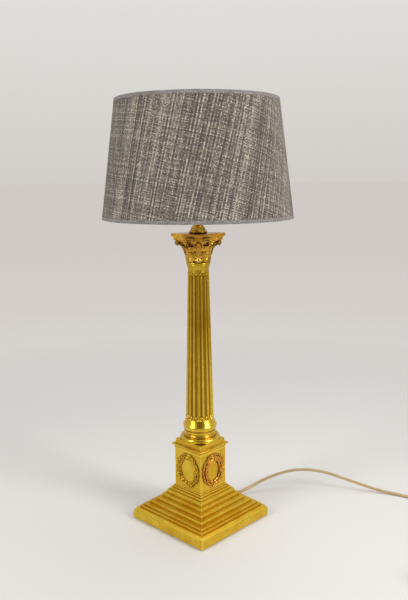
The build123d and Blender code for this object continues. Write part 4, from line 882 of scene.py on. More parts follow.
@dataclass
class FeltPad:
    """Felt under the base: a thin square with soft, slightly uneven edges."""

    side: float = 0.185
    thickness: float = 0.0015
    steps: int = 40
    unevenness: float = 0.0003

    def build(self, wardrobe: Wardrobe) -> bpy.types.Object:
        """Makes the pad and puts it in place of its solid."""
        rings = []
        for level, inset in ((0.0, 0.0006), (0.0005, 0.0), (0.0010, 0.0), (self.thickness, 0.0007)):
            ring = []
            for index in range(4 * self.steps):
                edge, along = divmod(index, self.steps)
                turn = Matrix.Rotation(edge * pi / 2, 3, "Z")
                wave = self.unevenness * noise.noise(Vector((index * 0.37, level * 900, 4.1)))
                half = self.side / 2 - inset - abs(wave)
                ring.append(tuple(turn @ Vector((half, (along / self.steps * 2 - 1) * half, level))))
            rings.append(ring)
        piece = placed("felt", lofted(rings, "felt"))
        wardrobe.dress(piece, Slot.FELT)
        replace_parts(piece, "felt_pad")
        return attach(piece, Body.LAMP.value)


class Side(Enum):
    """Sides of the die: the way each looks, in degrees from +X."""

    FRONT = -90.0
    RIGHT = 0.0
    BACK = 90.0
    LEFT = 180.0


@dataclass
class Wreath:
    """Laurel wreath on one side of the die: leaves up both sides of an oval, berries and a bow."""

    side: Side
    slot: Slot
    half_width: float = 0.0240
    half_height: float = 0.0277
    stations: int = 14
    leaf_length: float = 0.0080
    leaf_width: float = 0.0040
    splay: float = 30.0
    spread: float = 0.0021
    widened: float = 1.1
    berry_count: int = 22
    berry_radius: float = 0.0011
    band_outward: Pair = (0.0038, 0.0007)
    band_inward: Pair = (0.0034, 0.0030)
    band_steps: int = 168
    die_half: float = 0.0345
    middle_level: float = 0.107
    seed: int = 5

    def leaf(self) -> bpy.types.Mesh:
        """One pointed leaf with a raised rib, lying along +X from its foot."""
        section = (
            (-1.0, 0.0), (-0.5, 0.0005), (-0.12, 0.0006), (0.0, 0.0011), (0.12, 0.0006),
            (0.5, 0.0005), (1.0, 0.0), (0.6, -0.0009), (-0.6, -0.0009),
        )
        rings, last = [], 7
        for row in range(last + 1):
            s = row / last
            half = self.leaf_width / 2 * (sin(pi * min(1.0, s * 0.94 + 0.06) ** 0.8) + 0.04)
            rise = 0.0008 + 0.0011 * sin(pi * s * 0.85)
            rings.append([(s * self.leaf_length, half * side, rise + lift) for side, lift in section])
        return lofted(rings, "laurel_leaf")

    def leaves(self, material: bpy.types.Material) -> bpy.types.Mesh:
        """Leaves up both sides, three abreast, each a little different, wider at the oval's sides."""
        tree = GeometryTree("laurel_leaves")
        stations = tree.size("Stations", self.stations)
        across, tall = tree.size("Half Width", self.half_width), tree.size("Half Height", self.half_height)
        splay, spread = tree.size("Splay", radians(self.splay)), tree.size("Spread", self.spread)
        widened = tree.size("Widened", self.widened)
        points = tree.get("GeometryNodePoints", ins={"Count": stations * 6})
        index = tree.get("GeometryNodeInputIndex")
        row = (index / 6.0).to("FLOOR")
        side = index % 2.0 * 2.0 - 1.0
        lane = (index / 2.0).to("FLOOR") % 3.0 - 1.0
        nudge = tree.chance(-0.14, 0.14, self.seed) + lane * 0.3
        around = (row + (nudge + 0.35)) / stations * (pi * 0.95)
        sine, cosine = around.to("SINE"), around.to("COSINE")
        grown = sine**2.0 * (widened - 1.0) + 1.0
        shift = lane * spread * grown
        place = (sine * side * (across + shift), cosine * ((tall + shift) * -1.0))
        slope = tree.math("ARCTAN2", sine * tall, cosine * side * across)
        heading = slope + lane * side * (splay * -1.0) + tree.chance(-0.2, 0.2, self.seed + 1)
        spot = tree.moved(points, tree.vector(*place, (1.0 - lane.to("ABSOLUTE")) * 0.0009))
        tilt, roll = tree.chance(-0.4, 0.4, self.seed + 2), tree.chance(-0.14, 0.02, self.seed + 3)
        long = grown * tree.chance(0.82, 1.15, self.seed + 4)
        broad = grown.to("SQRT") * tree.chance(0.85, 1.15, self.seed + 5)
        turned, scaled = tree.vector(tilt, roll, heading), tree.vector(long, broad, 1.0)
        copies = tree.copies(spot, tree.source.outputs["Geometry"], Rotation=turned, Scale=scaled)
        return tree.mesh(copies, material, self.leaf())

    def berries(self, material: bpy.types.Material) -> bpy.types.Mesh:
        """Small round berries between the leaves."""
        tree = GeometryTree("laurel_berries")
        berries = tree.size("Berries", self.berry_count)
        ring = tree.get("GeometryNodeMeshCircle", ins={"Vertices": berries, "Radius": 1.0})
        reach = tree.chance(0.87, 1.12, self.seed + 6)
        width, tall = tree.size("Half Width", self.half_width), tree.size("Half Height", self.half_height)
        x, y, _ = tree.position()
        spots = tree.moved(ring, tree.vector(x * (width * reach), y * (tall * reach), 0.0022))
        ball = tree.get("GeometryNodeMeshIcoSphere", ins={"Radius": self.berry_radius, "Subdivisions": 2})
        return tree.mesh(tree.copies(spots, ball), material)

    def ribbon(self) -> bpy.types.Mesh:
        """Bow at the foot of the wreath: two loops, two tails and a knot."""
        foot = -self.half_height
        lines = (
            ((0.0, 0.0), (-0.0036, 0.0030), (-0.0070, 0.0014), (-0.0048, -0.0018), (0.0, 0.0)),
            ((0.0, 0.0), (0.0036, 0.0030), (0.0070, 0.0014), (0.0048, -0.0018), (0.0, 0.0)),
            ((0.0, 0.0), (-0.0026, -0.0024), (-0.0042, -0.0040), (-0.0070, -0.0050)),
            ((0.0, 0.0), (0.0024, -0.0025), (0.0050, -0.0036), (0.0074, -0.0055)),
        )
        section = ((-1, -1), (-1, 1), (-0.4, 0.5), (0.4, 0.5), (1, 1), (1, -1))
        half_width, half_thickness, last = 0.0009, 0.0006, 17
        shape = bmesh.new()
        for line in lines:
            marks = smooth_line(line, last + 1)
            rings = []
            for index, mark in enumerate(marks):
                ahead = marks[min(index + 1, last)] - marks[max(index - 1, 0)]
                out = Vector((-ahead.y, ahead.x)).normalized() * half_width
                lift = 0.0028 + 0.0004 * sin(index * 0.9)
                rings.append([
                    (mark.x + out.x * u, foot + mark.y + out.y * u, lift + half_thickness * v)
                    for u, v in section
                ])
            shape.from_mesh(lofted(rings, "ribbon_part"))
        knot = bmesh.ops.create_icosphere(shape, subdivisions=3, radius=0.0017)["verts"]
        bmesh.ops.translate(shape, verts=knot, vec=(0.0, foot, 0.0027))
        return mesh_of(shape, "ribbon")

    def backing(self) -> bpy.types.Mesh:
        """Low band that the leaves are cast on, lobed along both its edges."""
        rings = []
        for index in range(self.band_steps):
            around = index / self.band_steps * 2 * pi
            grown = 1.0 + (self.widened - 1.0) * cos(around) ** 2
            ring = []
            for inset, level in ((-1.0, 0.0), (-0.75, 0.0008), (0.0, 0.0013), (0.75, 0.0008), (1.0, 0.0)):
                lobe = abs(inset) * abs(sin(self.stations / 2 * around + inset))
                reach, depth = self.band_outward if inset > 0.0 else self.band_inward
                shift = inset * (reach * grown + depth * lobe)
                place = ((self.half_width + shift) * cos(around), (self.half_height + shift) * sin(around))
                ring.append((*place, level))
            rings.append(ring)
        return lofted(rings, "wreath_backing", caps=False)

    def build(self, wardrobe: Wardrobe) -> bpy.types.Object:
        """Makes the wreath and puts it in place of its solid."""
        material = wardrobe.materials[self.slot]
        turn = Matrix.Rotation(radians(self.side.value), 4, "Z")
        stand = Matrix(((0, 0, 1, self.die_half), (1, 0, 0, 0), (0, 1, 0, self.middle_level), (0, 0, 0, 1)))
        parts = (self.backing(), self.leaves(material), self.berries(material), self.ribbon())
        name = f"laurel_wreath_{self.side.name.lower()}"
        piece = placed(name, joined_mesh(name, [(part, turn @ stand) for part in parts]), sharp=40.0)
        wardrobe.dress(piece, self.slot)
        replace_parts(piece, f"wreath_{self.side.name.lower()}")
        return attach(piece, Body.LAMP.value)

    @classmethod
    def full(cls, side: Side, seed: int) -> "Wreath":
        """The fuller wreath, in copper, for two of the sides."""
        return cls(
            side, Slot.WREATH_COPPER, half_width=0.0222, half_height=0.0272, stations=13,
            leaf_length=0.0078, leaf_width=0.0045, splay=26.0, spread=0.0025, widened=1.30, seed=seed,
        )


# ---------------------------------------------------------------- column


@dataclass
class FlutedShaft:
    """Tapering shaft with round-ended flutes and a bead in each end, as a surface of one rule."""

    flutes: int = 16
    turn: float = -39.3
    foot_radius: float = 0.0269
    start_radius: float = 0.0268
    top_radius: float = 0.0195
    flare_radius: float = 0.0204
    flare_from: float = 0.4935
    flare_power: float = 2.6
    bottom: float = 0.206
    straight_from: float = 0.209
    top: float = 0.498
    width_share: float = 0.87
    depth_share: float = 0.28
    low_end: float = 0.21158
    high_end: float = 0.48617
    bead_share: float = 0.4
    bead_rise: float = 0.0006
    columns: int = 20
    column_share: float = 0.45
    rows: int = 210
    crowding: float = 0.105

    def build(self, wardrobe: Wardrobe) -> bpy.types.Object:
        """Makes the shaft and puts it in place of its solid."""
        tree = GeometryTree("fluted_shaft")
        flutes = tree.size("Flutes", self.flutes)
        foot = tree.size("Foot Radius", self.foot_radius)
        start, head = tree.size("Start Radius", self.start_radius), tree.size("Top Radius", self.top_radius)
        bottom, straight = tree.size("Bottom", self.bottom), tree.size("Straight From", self.straight_from)
        top = tree.size("Top", self.top)
        low, high = tree.size("Flutes From", self.low_end), tree.size("Flutes To", self.high_end)
        share, deep = tree.size("Width Share", self.width_share), tree.size("Depth Share", self.depth_share)
        bead_share = tree.size("Bead Share", self.bead_share)
        bead_rise = tree.size("Bead Rise", self.bead_rise)
        first, wide = tree.size("Turn", radians(self.turn)), tree.size("Flare Radius", self.flare_radius)
        flared, pitch = tree.size("Flare From", self.flare_from), 2 * pi / flutes

        def radius_at(height: Value) -> Value:
            """Radius of the plain shaft at a height."""
            spread = (1.0 - tree.between(height, bottom, straight)) * (foot - start)
            flare = tree.between(height, flared, top) ** self.flare_power * (wide - head)
            return tree.between(height, straight, top, start, head) + (spread + flare)

        def half_width_at(radius: Value) -> Value:
            """Half a flute's width where the shaft has a radius."""
            return share * radius * (pitch * 0.5)

        columns = flutes * float(self.columns) + 1.0
        ins = {"Size X": 1.0, "Size Y": 1.0, "Vertices X": columns, "Vertices Y": self.rows}
        sheet = tree.get("GeometryNodeMeshGrid", ins=ins)
        x, y, _ = tree.position()
        row = ((y + 0.5) * float(self.rows - 1)).to("ROUND")
        even = tree.between(row, 1.0, float(self.rows - 2))
        height = tree.between(even - (even * (2 * pi)).to("SINE") * self.crowding, 0.0, 1.0, bottom, top)
        radius = radius_at(height)
        turns = (x + 0.5) * flutes
        offset = (turns + 0.5).to("FRACT") - 0.5
        away, edge = offset.to("ABSOLUTE"), share * 0.5
        inner = tree.between(away, 0.0, self.column_share, 0.0, edge)
        away = inner + tree.between(away, self.column_share, 0.5, 0.0, 0.5 - edge)
        bearing = (turns - offset + offset.to("SIGN") * away) * pitch + first
        aside = away * pitch * radius
        beyond = tree.math("MAXIMUM", tree.math("MAXIMUM", low - height, height - high), 0.0)
        off = aside * aside + beyond * beyond
        half = half_width_at(radius)
        depth = half * 2.0 * deep
        cutter = (half * half + depth * depth) / (depth * 2.0)
        under = tree.math("MAXIMUM", cutter * cutter - off, 0.0)
        cut = tree.math("MAXIMUM", under.to("SQRT") - (cutter - depth), 0.0)
        ends = tree.math("GREATER_THAN", row, 0.5) * tree.math("LESS_THAN", row, self.rows - 1.5)
        reach = (radius - cut) * ends
        spun = tree.vector(reach * bearing.to("COSINE"), reach * bearing.to("SINE"), height)
        # each point's depth in its flute, which the column brass uses for painted shade
        ins = {"Geometry": sheet, "Name": "flute_depth", "Value": cut / depth}
        marked = tree.get("GeometryNodeStoreNamedAttribute", ins=ins, data_type="FLOAT", domain="POINT")
        ins = {"Geometry": tree.moved(marked, spun), "Distance": 1e-5}
        parts = [tree.get("GeometryNodeMergeByDistance", ins=ins)]
        for level in (low, high):
            plain = radius_at(level)
            ball_size = half_width_at(plain) * 2.0 * bead_share
            ring_size = plain + bead_rise - ball_size
            ring = tree.get("GeometryNodeMeshCircle", ins={"Vertices": flutes, "Radius": ring_size})
            place, turned = tree.vector(0.0, 0.0, level), tree.vector(0.0, 0.0, first)
            ins = {"Geometry": ring, "Translation": place, "Rotation": turned}
            spots = tree.get("GeometryNodeTransform", ins=ins)
            ins = {"Segments": 20, "Rings": 12, "Radius": ball_size}
            parts.append(tree.copies(spots, tree.get("GeometryNodeMeshUVSphere", ins=ins)))
        whole = tree.add("GeometryNodeJoinGeometry")
        for part in parts:
            tree.feed(whole.inputs[0], part)
        mesh = tree.mesh(whole.outputs[0], wardrobe.materials[Slot.COLUMN_BRASS])
        piece = placed("fluted_shaft", mesh, sharp=32.0)
        wardrobe.dress(piece, Slot.COLUMN_BRASS)
        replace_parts(piece, "column_shaft")
        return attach(piece, Body.LAMP.value)


@dataclass(frozen=True)
class LeafRow:
    """Row of like leaves round the capital's bell: the line of a leaf's back, (out, up), and its sizes."""

    name: str
    path: tuple[Pair, ...]
    half_width: float
    turn: float
    count: int = 8
    lobes: int = 5
    thickness: float = 0.0012
    narrowing: float = 0.62
    narrow_from: float = 0.62
    tooth_depth: float = 0.05
    rib_height: float = 0.0010
    vein_height: float = 0.0007
    fine_height: float = 0.00025
    vein_slant: float = 0.8
    cup_radius: float = 0.024
    curl: float = 0.0012
    rows: int = 46
    columns: int = 21


LEAF_ROWS = (
    LeafRow(
        "lower_leaves",
        (
            (0.0208, 0.0), (0.0214, 0.005), (0.0218, 0.010), (0.0227, 0.0148),
            (0.0245, 0.0184), (0.0258, 0.0177), (0.0255, 0.0157), (0.0243, 0.0150),
        ),
        half_width=0.0099, turn=0.0,
    ),
    LeafRow(
        "upper_leaves",
        (
            (0.0215, 0.004), (0.0222, 0.012), (0.0233, 0.0195), (0.0252, 0.0260),
            (0.0280, 0.0296), (0.0296, 0.0286), (0.0291, 0.0264), (0.0277, 0.0256),
        ),
        half_width=0.0098, turn=22.5,
    ),
    LeafRow(
        "corner_leaves",
        (
            (0.0232, 0.012), (0.0246, 0.0190), (0.0278, 0.0258), (0.0325, 0.0306),
            (0.0372, 0.0326), (0.0398, 0.0314), (0.0396, 0.0294), (0.0380, 0.0286),
        ),
        half_width=0.0078, turn=45.0, count=4,
    ),
    LeafRow(
        "side_leaves",
        (
            (0.0234, 0.016), (0.0248, 0.0240), (0.0272, 0.0315),
            (0.0298, 0.0352), (0.0312, 0.0342), (0.0304, 0.0326),
        ),
        half_width=0.0070, turn=0.0, count=4, lobes=4,
    ),
)


@dataclass
class Capital:
    """Leafy capital: a bell, rows of curling leaves, corner scrolls, inner scrolls and flowers."""

    bottom: float = 0.5088
    height: float = 0.0402
    scroll_radius: float = 0.0060
    scroll_reach: float = 0.0440
    scroll_lift: float = 0.0006
    scroll_turns: float = 1.6
    scroll_half_width: float = 0.0025
    inner_radius: float = 0.0037
    inner_centre: Pair = (0.0294, 0.0336)
    inner_turns: float = 1.4
    inner_half_width: float = 0.0016
    marks_per_turn: int = 16
    band_thickness: float = 0.0016
    band_rim: float = 0.35
    winding_in: float = 0.62
    eye_share: float = 0.4
    button_share: float = 0.36
    flower_place: Pair = (0.0314, 0.0378)
    bell: tuple[Pair, ...] = (
        (0.0, 0.0), (0.0206, 0.0), (0.0208, 0.004), (0.0212, 0.012), (0.0223, 0.020), (0.0247, 0.028),
        (0.0278, 0.034), (0.0300, 0.0375), (0.0306, 0.0388), (0.0300, 0.0402), (0.0, 0.0402),
    )
    bell_steps: int = 96
    corner_flare: float = 0.0085
    flare_from: float = 0.018

    def leaf(self, row: LeafRow) -> bpy.types.Mesh:
        """One leaf looking along +X: toothed lobes, a raised rib and veins, and a curled tip."""
        line = smooth_line(row.path, row.rows)
        faces = []
        for side in (1.0, 0.0):
            sheet = []
            for index, mark in enumerate(line):
                s = index / (row.rows - 1)
                ahead = line[min(index + 1, row.rows - 1)] - line[max(index - 1, 0)]
                out = Vector((ahead.y, -ahead.x)).normalized()
                phase = row.lobes * (s * 0.92 + 0.04)
                lobe = abs(sin(pi * phase)) ** 0.45
                tooth = row.tooth_depth * abs(sin(3 * pi * phase))
                tip = max(0.0, (s - row.narrow_from) / (1 - row.narrow_from))
                body = 0.84 + 0.20 * sin(pi * min(1.0, 1.2 * s)) - row.narrowing * tip**1.6
                width = row.half_width * body * (0.70 + 0.25 * lobe + tooth)
                strand = []
                for column in range(row.columns):
                    t = column / (row.columns - 1) * 2 - 1
                    fan = phase - row.vein_slant * abs(t)
                    rib = row.rib_height * max(0.0, 1 - abs(t) / 0.2)
                    vein = row.vein_height * abs(t) ** 0.7 * cos(2 * pi * fan)
                    fine = row.fine_height * cos(6 * pi * fan)
                    cup = -0.5 * (t * width) ** 2 / row.cup_radius + row.curl * t * t * sin(pi * s)
                    lift = rib - vein - fine + cup + row.thickness * side
                    strand.append((mark.x + out.x * lift, t * width, mark.y + out.y * lift))
                sheet.append(strand)
            faces.append(sheet)
        rings = [front + back[::-1] for front, back in zip(*faces)]
        return lofted(rings, row.name)

    def leaves(self, row: LeafRow, material: bpy.types.Material) -> bpy.types.Mesh:
        """The leaf, repeated round the bell with small differences."""
        tree = GeometryTree(row.name)
        count, first = tree.size("Leaves", row.count), tree.size("Turn", radians(row.turn))
        points = tree.get("GeometryNodePoints", ins={"Count": count})
        step = tree.get("GeometryNodeInputIndex") * (2 * pi) / count
        turned = tree.vector(0.0, 0.0, step + first + tree.chance(-0.02, 0.02, 3))
        size = tree.chance(0.97, 1.03, 9)
        scaled = tree.vector(1.0, size, size)
        copies = tree.copies(points, tree.source.outputs["Geometry"], Rotation=turned, Scale=scaled)
        return tree.mesh(copies, material, self.leaf(row))

    def scroll(
        self, start: Sequence[Pair], centre: Pair, radius: float, turns: float, half_width: float
    ) -> bpy.types.Mesh:
        """Stem that rises from the bell and winds into a scroll, in the XZ plane.

        Args:
            start: points of the stem, (out, up).
            centre: the scroll's middle, (out, up).
            radius: its outer radius.
            turns: how many turns it winds.
            half_width: half the band's width.

        Returns:
            The band and the scroll's eye, as one mesh.
        """
        marks = list(start)
        for index in range(int(turns * self.marks_per_turn) + 1):
            angle = pi / 2 - index / self.marks_per_turn * 2 * pi
            size = radius * (1 - self.winding_in * index / (turns * self.marks_per_turn))
            marks.append((centre[0] + size * cos(angle), centre[1] + size * sin(angle)))
        path = [Vector((mark.x, 0.0, mark.y)) for mark in smooth_line(marks, len(marks) * 3)]
        shape = bmesh.new()
        shape.from_mesh(strip(path, half_width, -self.band_thickness, self.band_rim, "scroll_band"))
        for side in (-1, 1):
            size = self.button_share * radius
            button = bmesh.ops.create_uvsphere(shape, u_segments=16, v_segments=10, radius=size)["verts"]
            place = (centre[0], side * half_width * 0.75, centre[1])
            bmesh.ops.translate(shape, verts=button, vec=place)
        size, depth = self.eye_share * radius, 1.7 * half_width
        core = bmesh.ops.create_cone(
            shape, cap_ends=True, segments=20, radius1=size, radius2=size, depth=depth
        )["verts"]
        bmesh.ops.rotate(shape, verts=core, cent=(0, 0, 0), matrix=Matrix.Rotation(pi / 2, 3, "X"))
        bmesh.ops.translate(shape, verts=core, vec=(centre[0], 0.0, centre[1]))
        return mesh_of(shape, "scroll")

    def flower(self) -> bpy.types.Mesh:
        """Small five-petalled flower facing +X."""
        section = ((-1, 0), (-0.4, 0.0004), (0.4, 0.0004), (1, 0), (0, -0.0008))
        petals, last, length = 5, 6, 0.0036
        shape = bmesh.new()
        for index in range(petals):
            rings = []
            for row in range(last + 1):
                s = row / last
                half = 0.00165 * sin(pi * min(1.0, 0.12 + s * 0.88)) + 0.0002
                lift = 0.0012 * sin(pi * s * 0.8)
                rings.append([(lift + up, half * side, 0.0006 + length * s) for side, up in section])
            petal = lofted(rings, "petal")
            petal.transform(Matrix.Rotation(index * 2 * pi / petals, 4, "X"))
            shape.from_mesh(petal)
        eye = bmesh.ops.create_icosphere(shape, subdivisions=2, radius=0.0012)["verts"]
        bmesh.ops.translate(shape, verts=eye, vec=(0.0013, 0.0, 0.0))
        return mesh_of(shape, "flower")

    def scrolls(self) -> bpy.types.Mesh:
        """The four pairs of corner scrolls and, between them, the small inner ones."""
        size = self.scroll_radius
        centre = (self.scroll_reach - size, self.height - size + self.scroll_lift)
        stem = ((0.0228, 0.0130), (0.0250, 0.0205), (0.0292, 0.0285), (0.0335, 0.0345))
        corner = self.scroll(stem, centre, size, self.scroll_turns, self.scroll_half_width)
        size = self.inner_radius
        stem = ((0.0230, 0.0170), (0.0244, 0.0235), (0.0262, 0.0290))
        inner = self.scroll(stem, self.inner_centre, size, self.inner_turns, self.inner_half_width)
        parts = []
        for index in range(4):
            for lean in (-1, 1):
                turn = Matrix.Rotation(radians(45 + 90 * index), 4, "Z")
                aside = Matrix.Translation((0, lean * self.scroll_half_width, 0))
                parts.append((corner, turn @ (aside @ Matrix.Rotation(radians(lean * -4), 4, "Z"))))
                between = Matrix.Rotation(radians(90 * index + lean * 15), 4, "Z")
                parts.append((inner, between @ Matrix.Rotation(radians(lean * 22), 4, "Z")))
        return joined_mesh("capital_scrolls", parts)

    def bell_point(self, radius: float, bearing: float, up: float) -> Point:
        """Point of the bell's surface, which spreads towards the four corners near its top."""
        rise = max(0.0, (up - self.flare_from) / (self.height - self.flare_from))
        spread = self.corner_flare * rise**1.5 * sin(2 * bearing) ** 4 if radius > 0.0 else 0.0
        return ((radius + spread) * cos(bearing), (radius + spread) * sin(bearing), up)

    def build(self, wardrobe: Wardrobe) -> None:
        """Makes the capital's pieces; the bell stands for the solid."""
        material = wardrobe.materials[Slot.CAPITAL_BRASS]
        rise = Matrix.Translation((0, 0, self.bottom))
        bearings = [index / self.bell_steps * 2 * pi for index in range(self.bell_steps)]
        rings = [[self.bell_point(radius, a, up) for a in bearings] for radius, up in self.bell]
        raised = joined_mesh("capital_bell", [(lofted(rings, "bell"), rise)])
        bell = placed("capital_bell", raised, sharp=45.0)
        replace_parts(bell, "capital")
        pieces = [bell]
        for row in LEAF_ROWS:
            ring = joined_mesh(row.name, [(self.leaves(row, material), rise)])
            pieces.append(placed(row.name, ring, sharp=55.0))
        scrolls = joined_mesh("capital_scrolls", [(self.scrolls(), rise)])
        pieces.append(placed("capital_scrolls", scrolls, sharp=40.0))
        out = Matrix.Translation((self.flower_place[0], 0, self.flower_place[1]))
        turns = [Matrix.Rotation(radians(90 * index), 4, "Z") for index in range(4)]
        flowers = [(self.flower(), rise @ turn @ out) for turn in turns]
        pieces.append(placed("capital_flowers", joined_mesh("capital_flowers", flowers), sharp=50.0))
        for piece in pieces:
            wardrobe.dress(piece, Slot.CAPITAL_BRASS)
            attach(piece, Body.LAMP.value)


# ---------------------------------------------------------------- shade


@dataclass
class Shade:
    """Tapered drum shade: slub cloth cut flat as one sector and lapped at a seam, with taped edges."""

    bottom_radius: float = 0.175
    top_radius: float = 0.1473
    bottom: float = 0.588
    height: float = 0.212
    cloth_inset: float = 0.0005
    cloth_wall: float = 0.0008
    seam: float = 34.3
    lap: float = 0.011
    lap_rise: float = 0.0005
    tape_wall: float = 0.00045
    tape_height: float = 0.0064
    tape_inner_height: float = 0.0055
    tape_depth: float = 0.00545
    edge_gap: float = 0.0006
    lap_wall: float = 0.0003
    ripple: float = 0.00012
    tape_wave: float = 0.00018
    tape_pull: float = 0.00035
    rows: int = 14
    steps: int = 300

    @property
    def slope(self) -> float:
        """How far the shade draws in for each metre of height."""
        return (self.bottom_radius - self.top_radius) / self.height

    @property
    def half_angle_sine(self) -> float:
        """Sine of the cone's half angle."""
        return self.slope / hypot(1.0, self.slope)

    def radius(self, level: float) -> float:
        """Outer radius of the tapes at a level."""
        return self.bottom_radius - self.slope * (level - self.bottom)

    def cloth(self, wardrobe: Wardrobe) -> bpy.types.Object:
        """The lapped sheet, with its flat cut as its map, in place of its solid."""
        low, high = self.bottom + self.edge_gap, self.bottom + self.height - self.edge_gap
        lap_angle = self.lap / self.bottom_radius
        spread, middle = 2 * pi + lap_angle, radians(self.seam) - pi
        rows, steps = self.rows, self.steps
        shape = bmesh.new()
        chart = shape.loops.layers.uv.new("cloth")
        # the lap's outer edge is marked for a painted shadow in the weave
        marked = shape.verts.layers.float.new("lap_edge")
        grid: dict[tuple[int, int, int], Any] = {}
        flat: dict[Any, Pair] = {}
        for side in (0, 1):
            for step in range(steps + 1):
                bearing = middle - pi + step / steps * spread
                past = (step / steps * spread - 2 * pi) / lap_angle
                rise = self.lap_rise * min(1.0, max(0.0, 1.4 + past * 1.4))
                rise += self.ripple * sin(bearing * 7.3) if step < steps else 0.0
                wall = side * (self.lap_wall if past > -0.1 else self.cloth_wall)
                for row in range(rows + 1):
                    level = low + (high - low) * row / rows
                    reach = self.radius(level) - self.cloth_inset + rise - wall
                    vertex = shape.verts.new((reach * cos(bearing), reach * sin(bearing), level))
                    slant = reach / self.half_angle_sine
                    fan = (bearing - middle) * self.half_angle_sine
                    flat[vertex] = (slant * sin(fan), -slant * cos(fan))
                    grid[side, step, row] = vertex
                    vertex[marked] = 1.0 if step == steps else 0.0

        def patch(corners: Sequence[tuple[int, int, int]]) -> None:
            """Adds one face between points of the grid, and its place on the flat cut."""
            face = shape.faces.new([grid[corner] for corner in corners])
            face.smooth = True
            for loop in face.loops:
                loop[chart].uv = flat[loop.vert]

        for step in range(steps):
            near, far = step, step + 1
            for row in range(rows):
                patch(((0, near, row), (0, far, row), (0, far, row + 1), (0, near, row + 1)))
                patch(((1, far, row), (1, near, row), (1, near, row + 1), (1, far, row + 1)))
            for row, order in ((0, 1), (rows, -1)):
                patch(((1, near, row), (1, far, row), (0, far, row), (0, near, row))[::order])
        for row in range(rows):
            for step, order in ((0, 1), (steps, -1)):
                patch(((0, step, row), (0, step, row + 1), (1, step, row + 1), (1, step, row))[::order])
        piece = placed("shade_cloth", mesh_of(shape, "shade_cloth", recalculate=False), sharp=50.0)
        wardrobe.dress(piece, Slot.SHADE_FABRIC)
        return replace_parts(piece, "shade_cover")

    def tape(self, name: str, edge: float, inwards: float, wardrobe: Wardrobe) -> bpy.types.Object:
        """Folded tape round one edge.

        Args:
            name: the piece's name, which is its solid's after "ribbed_".
            edge: the level of the shade's edge.
            inwards: 1 at the bottom edge, -1 at the top.
            wardrobe: the finishes.

        Returns:
            The tape, in place of its solid.
        """
        depth, wall = self.tape_depth, self.tape_wall
        outline = (
            (0.0, self.tape_height), (0.0, 0.004), (0.0, 0.0016), (0.0004, 0.0006), (0.0012, 0.0001),
            (0.0022, 0.0), (depth - 0.0018, 0.0), (depth - 0.0008, 0.0002), (depth - 0.0002, 0.0008),
            (depth, 0.0016), (depth, self.tape_inner_height), (depth - wall, self.tape_inner_height),
            (depth - wall, 0.0018), (depth - wall - 0.0006, 0.0009), (depth - 0.0022, wall),
            (0.0022, wall), (wall + 0.0006, 0.0009), (wall, 0.0018), (wall, self.tape_height),
        )
        lengths = [0.0]
        for first, second in zip(outline, outline[1:]):
            lengths.append(lengths[-1] + hypot(second[0] - first[0], second[1] - first[1]))
        shape = bmesh.new()
        chart = shape.loops.layers.uv.new("cloth")
        rows = []
        for step in range(self.steps):
            bearing = step / self.steps * 2 * pi
            wave = self.tape_wave * noise.noise(Vector((3 * cos(bearing), 3 * sin(bearing), edge * 9)))
            pull = self.tape_pull * noise.noise(Vector((5 * cos(bearing), 5 * sin(bearing), edge * 31)))
            ring = []
            for inset, up in outline:
                level = edge + inwards * (up + (pull if up > 0.0058 else 0.0))
                reach = self.radius(level) - inset + (wave if inset < 0.0002 else 0.0)
                ring.append(shape.verts.new((reach * cos(bearing), reach * sin(bearing), level)))
            rows.append(ring)
        size = len(outline)
        for step in range(self.steps):
            for index in range(size):
                following = (index + 1) % size
                near, far = rows[step], rows[(step + 1) % self.steps]
                face = shape.faces.new((near[index], far[index], far[following], near[following]))
                face.smooth = True
                marks = ((step, index), (step + 1, index), (step + 1, index + 1), (step, index + 1))
                for loop, (at, along) in zip(face.loops, marks):
                    up = lengths[along] if along < size else lengths[-1] + wall
                    loop[chart].uv = (at / self.steps * 2 * pi * self.radius(edge), up)
        bmesh.ops.recalc_face_normals(shape, faces=shape.faces)
        piece = placed(name, mesh_of(shape, name, recalculate=False), sharp=60.0)
        wardrobe.dress(piece, Slot.EDGE_TAPE)
        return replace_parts(piece, name.replace("ribbed_", ""))

    def build(self, wardrobe: Wardrobe) -> None:
        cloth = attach(self.cloth(wardrobe), Body.SHADE.value)
        top = self.bottom + self.height
        tapes = [
            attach(self.tape("ribbed_bottom_tape", self.bottom, 1.0, wardrobe), Body.SHADE.value),
            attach(self.tape("ribbed_top_tape", top, -1.0, wardrobe), Body.SHADE.value),
        ]


# ---------------------------------------------------------------- cord


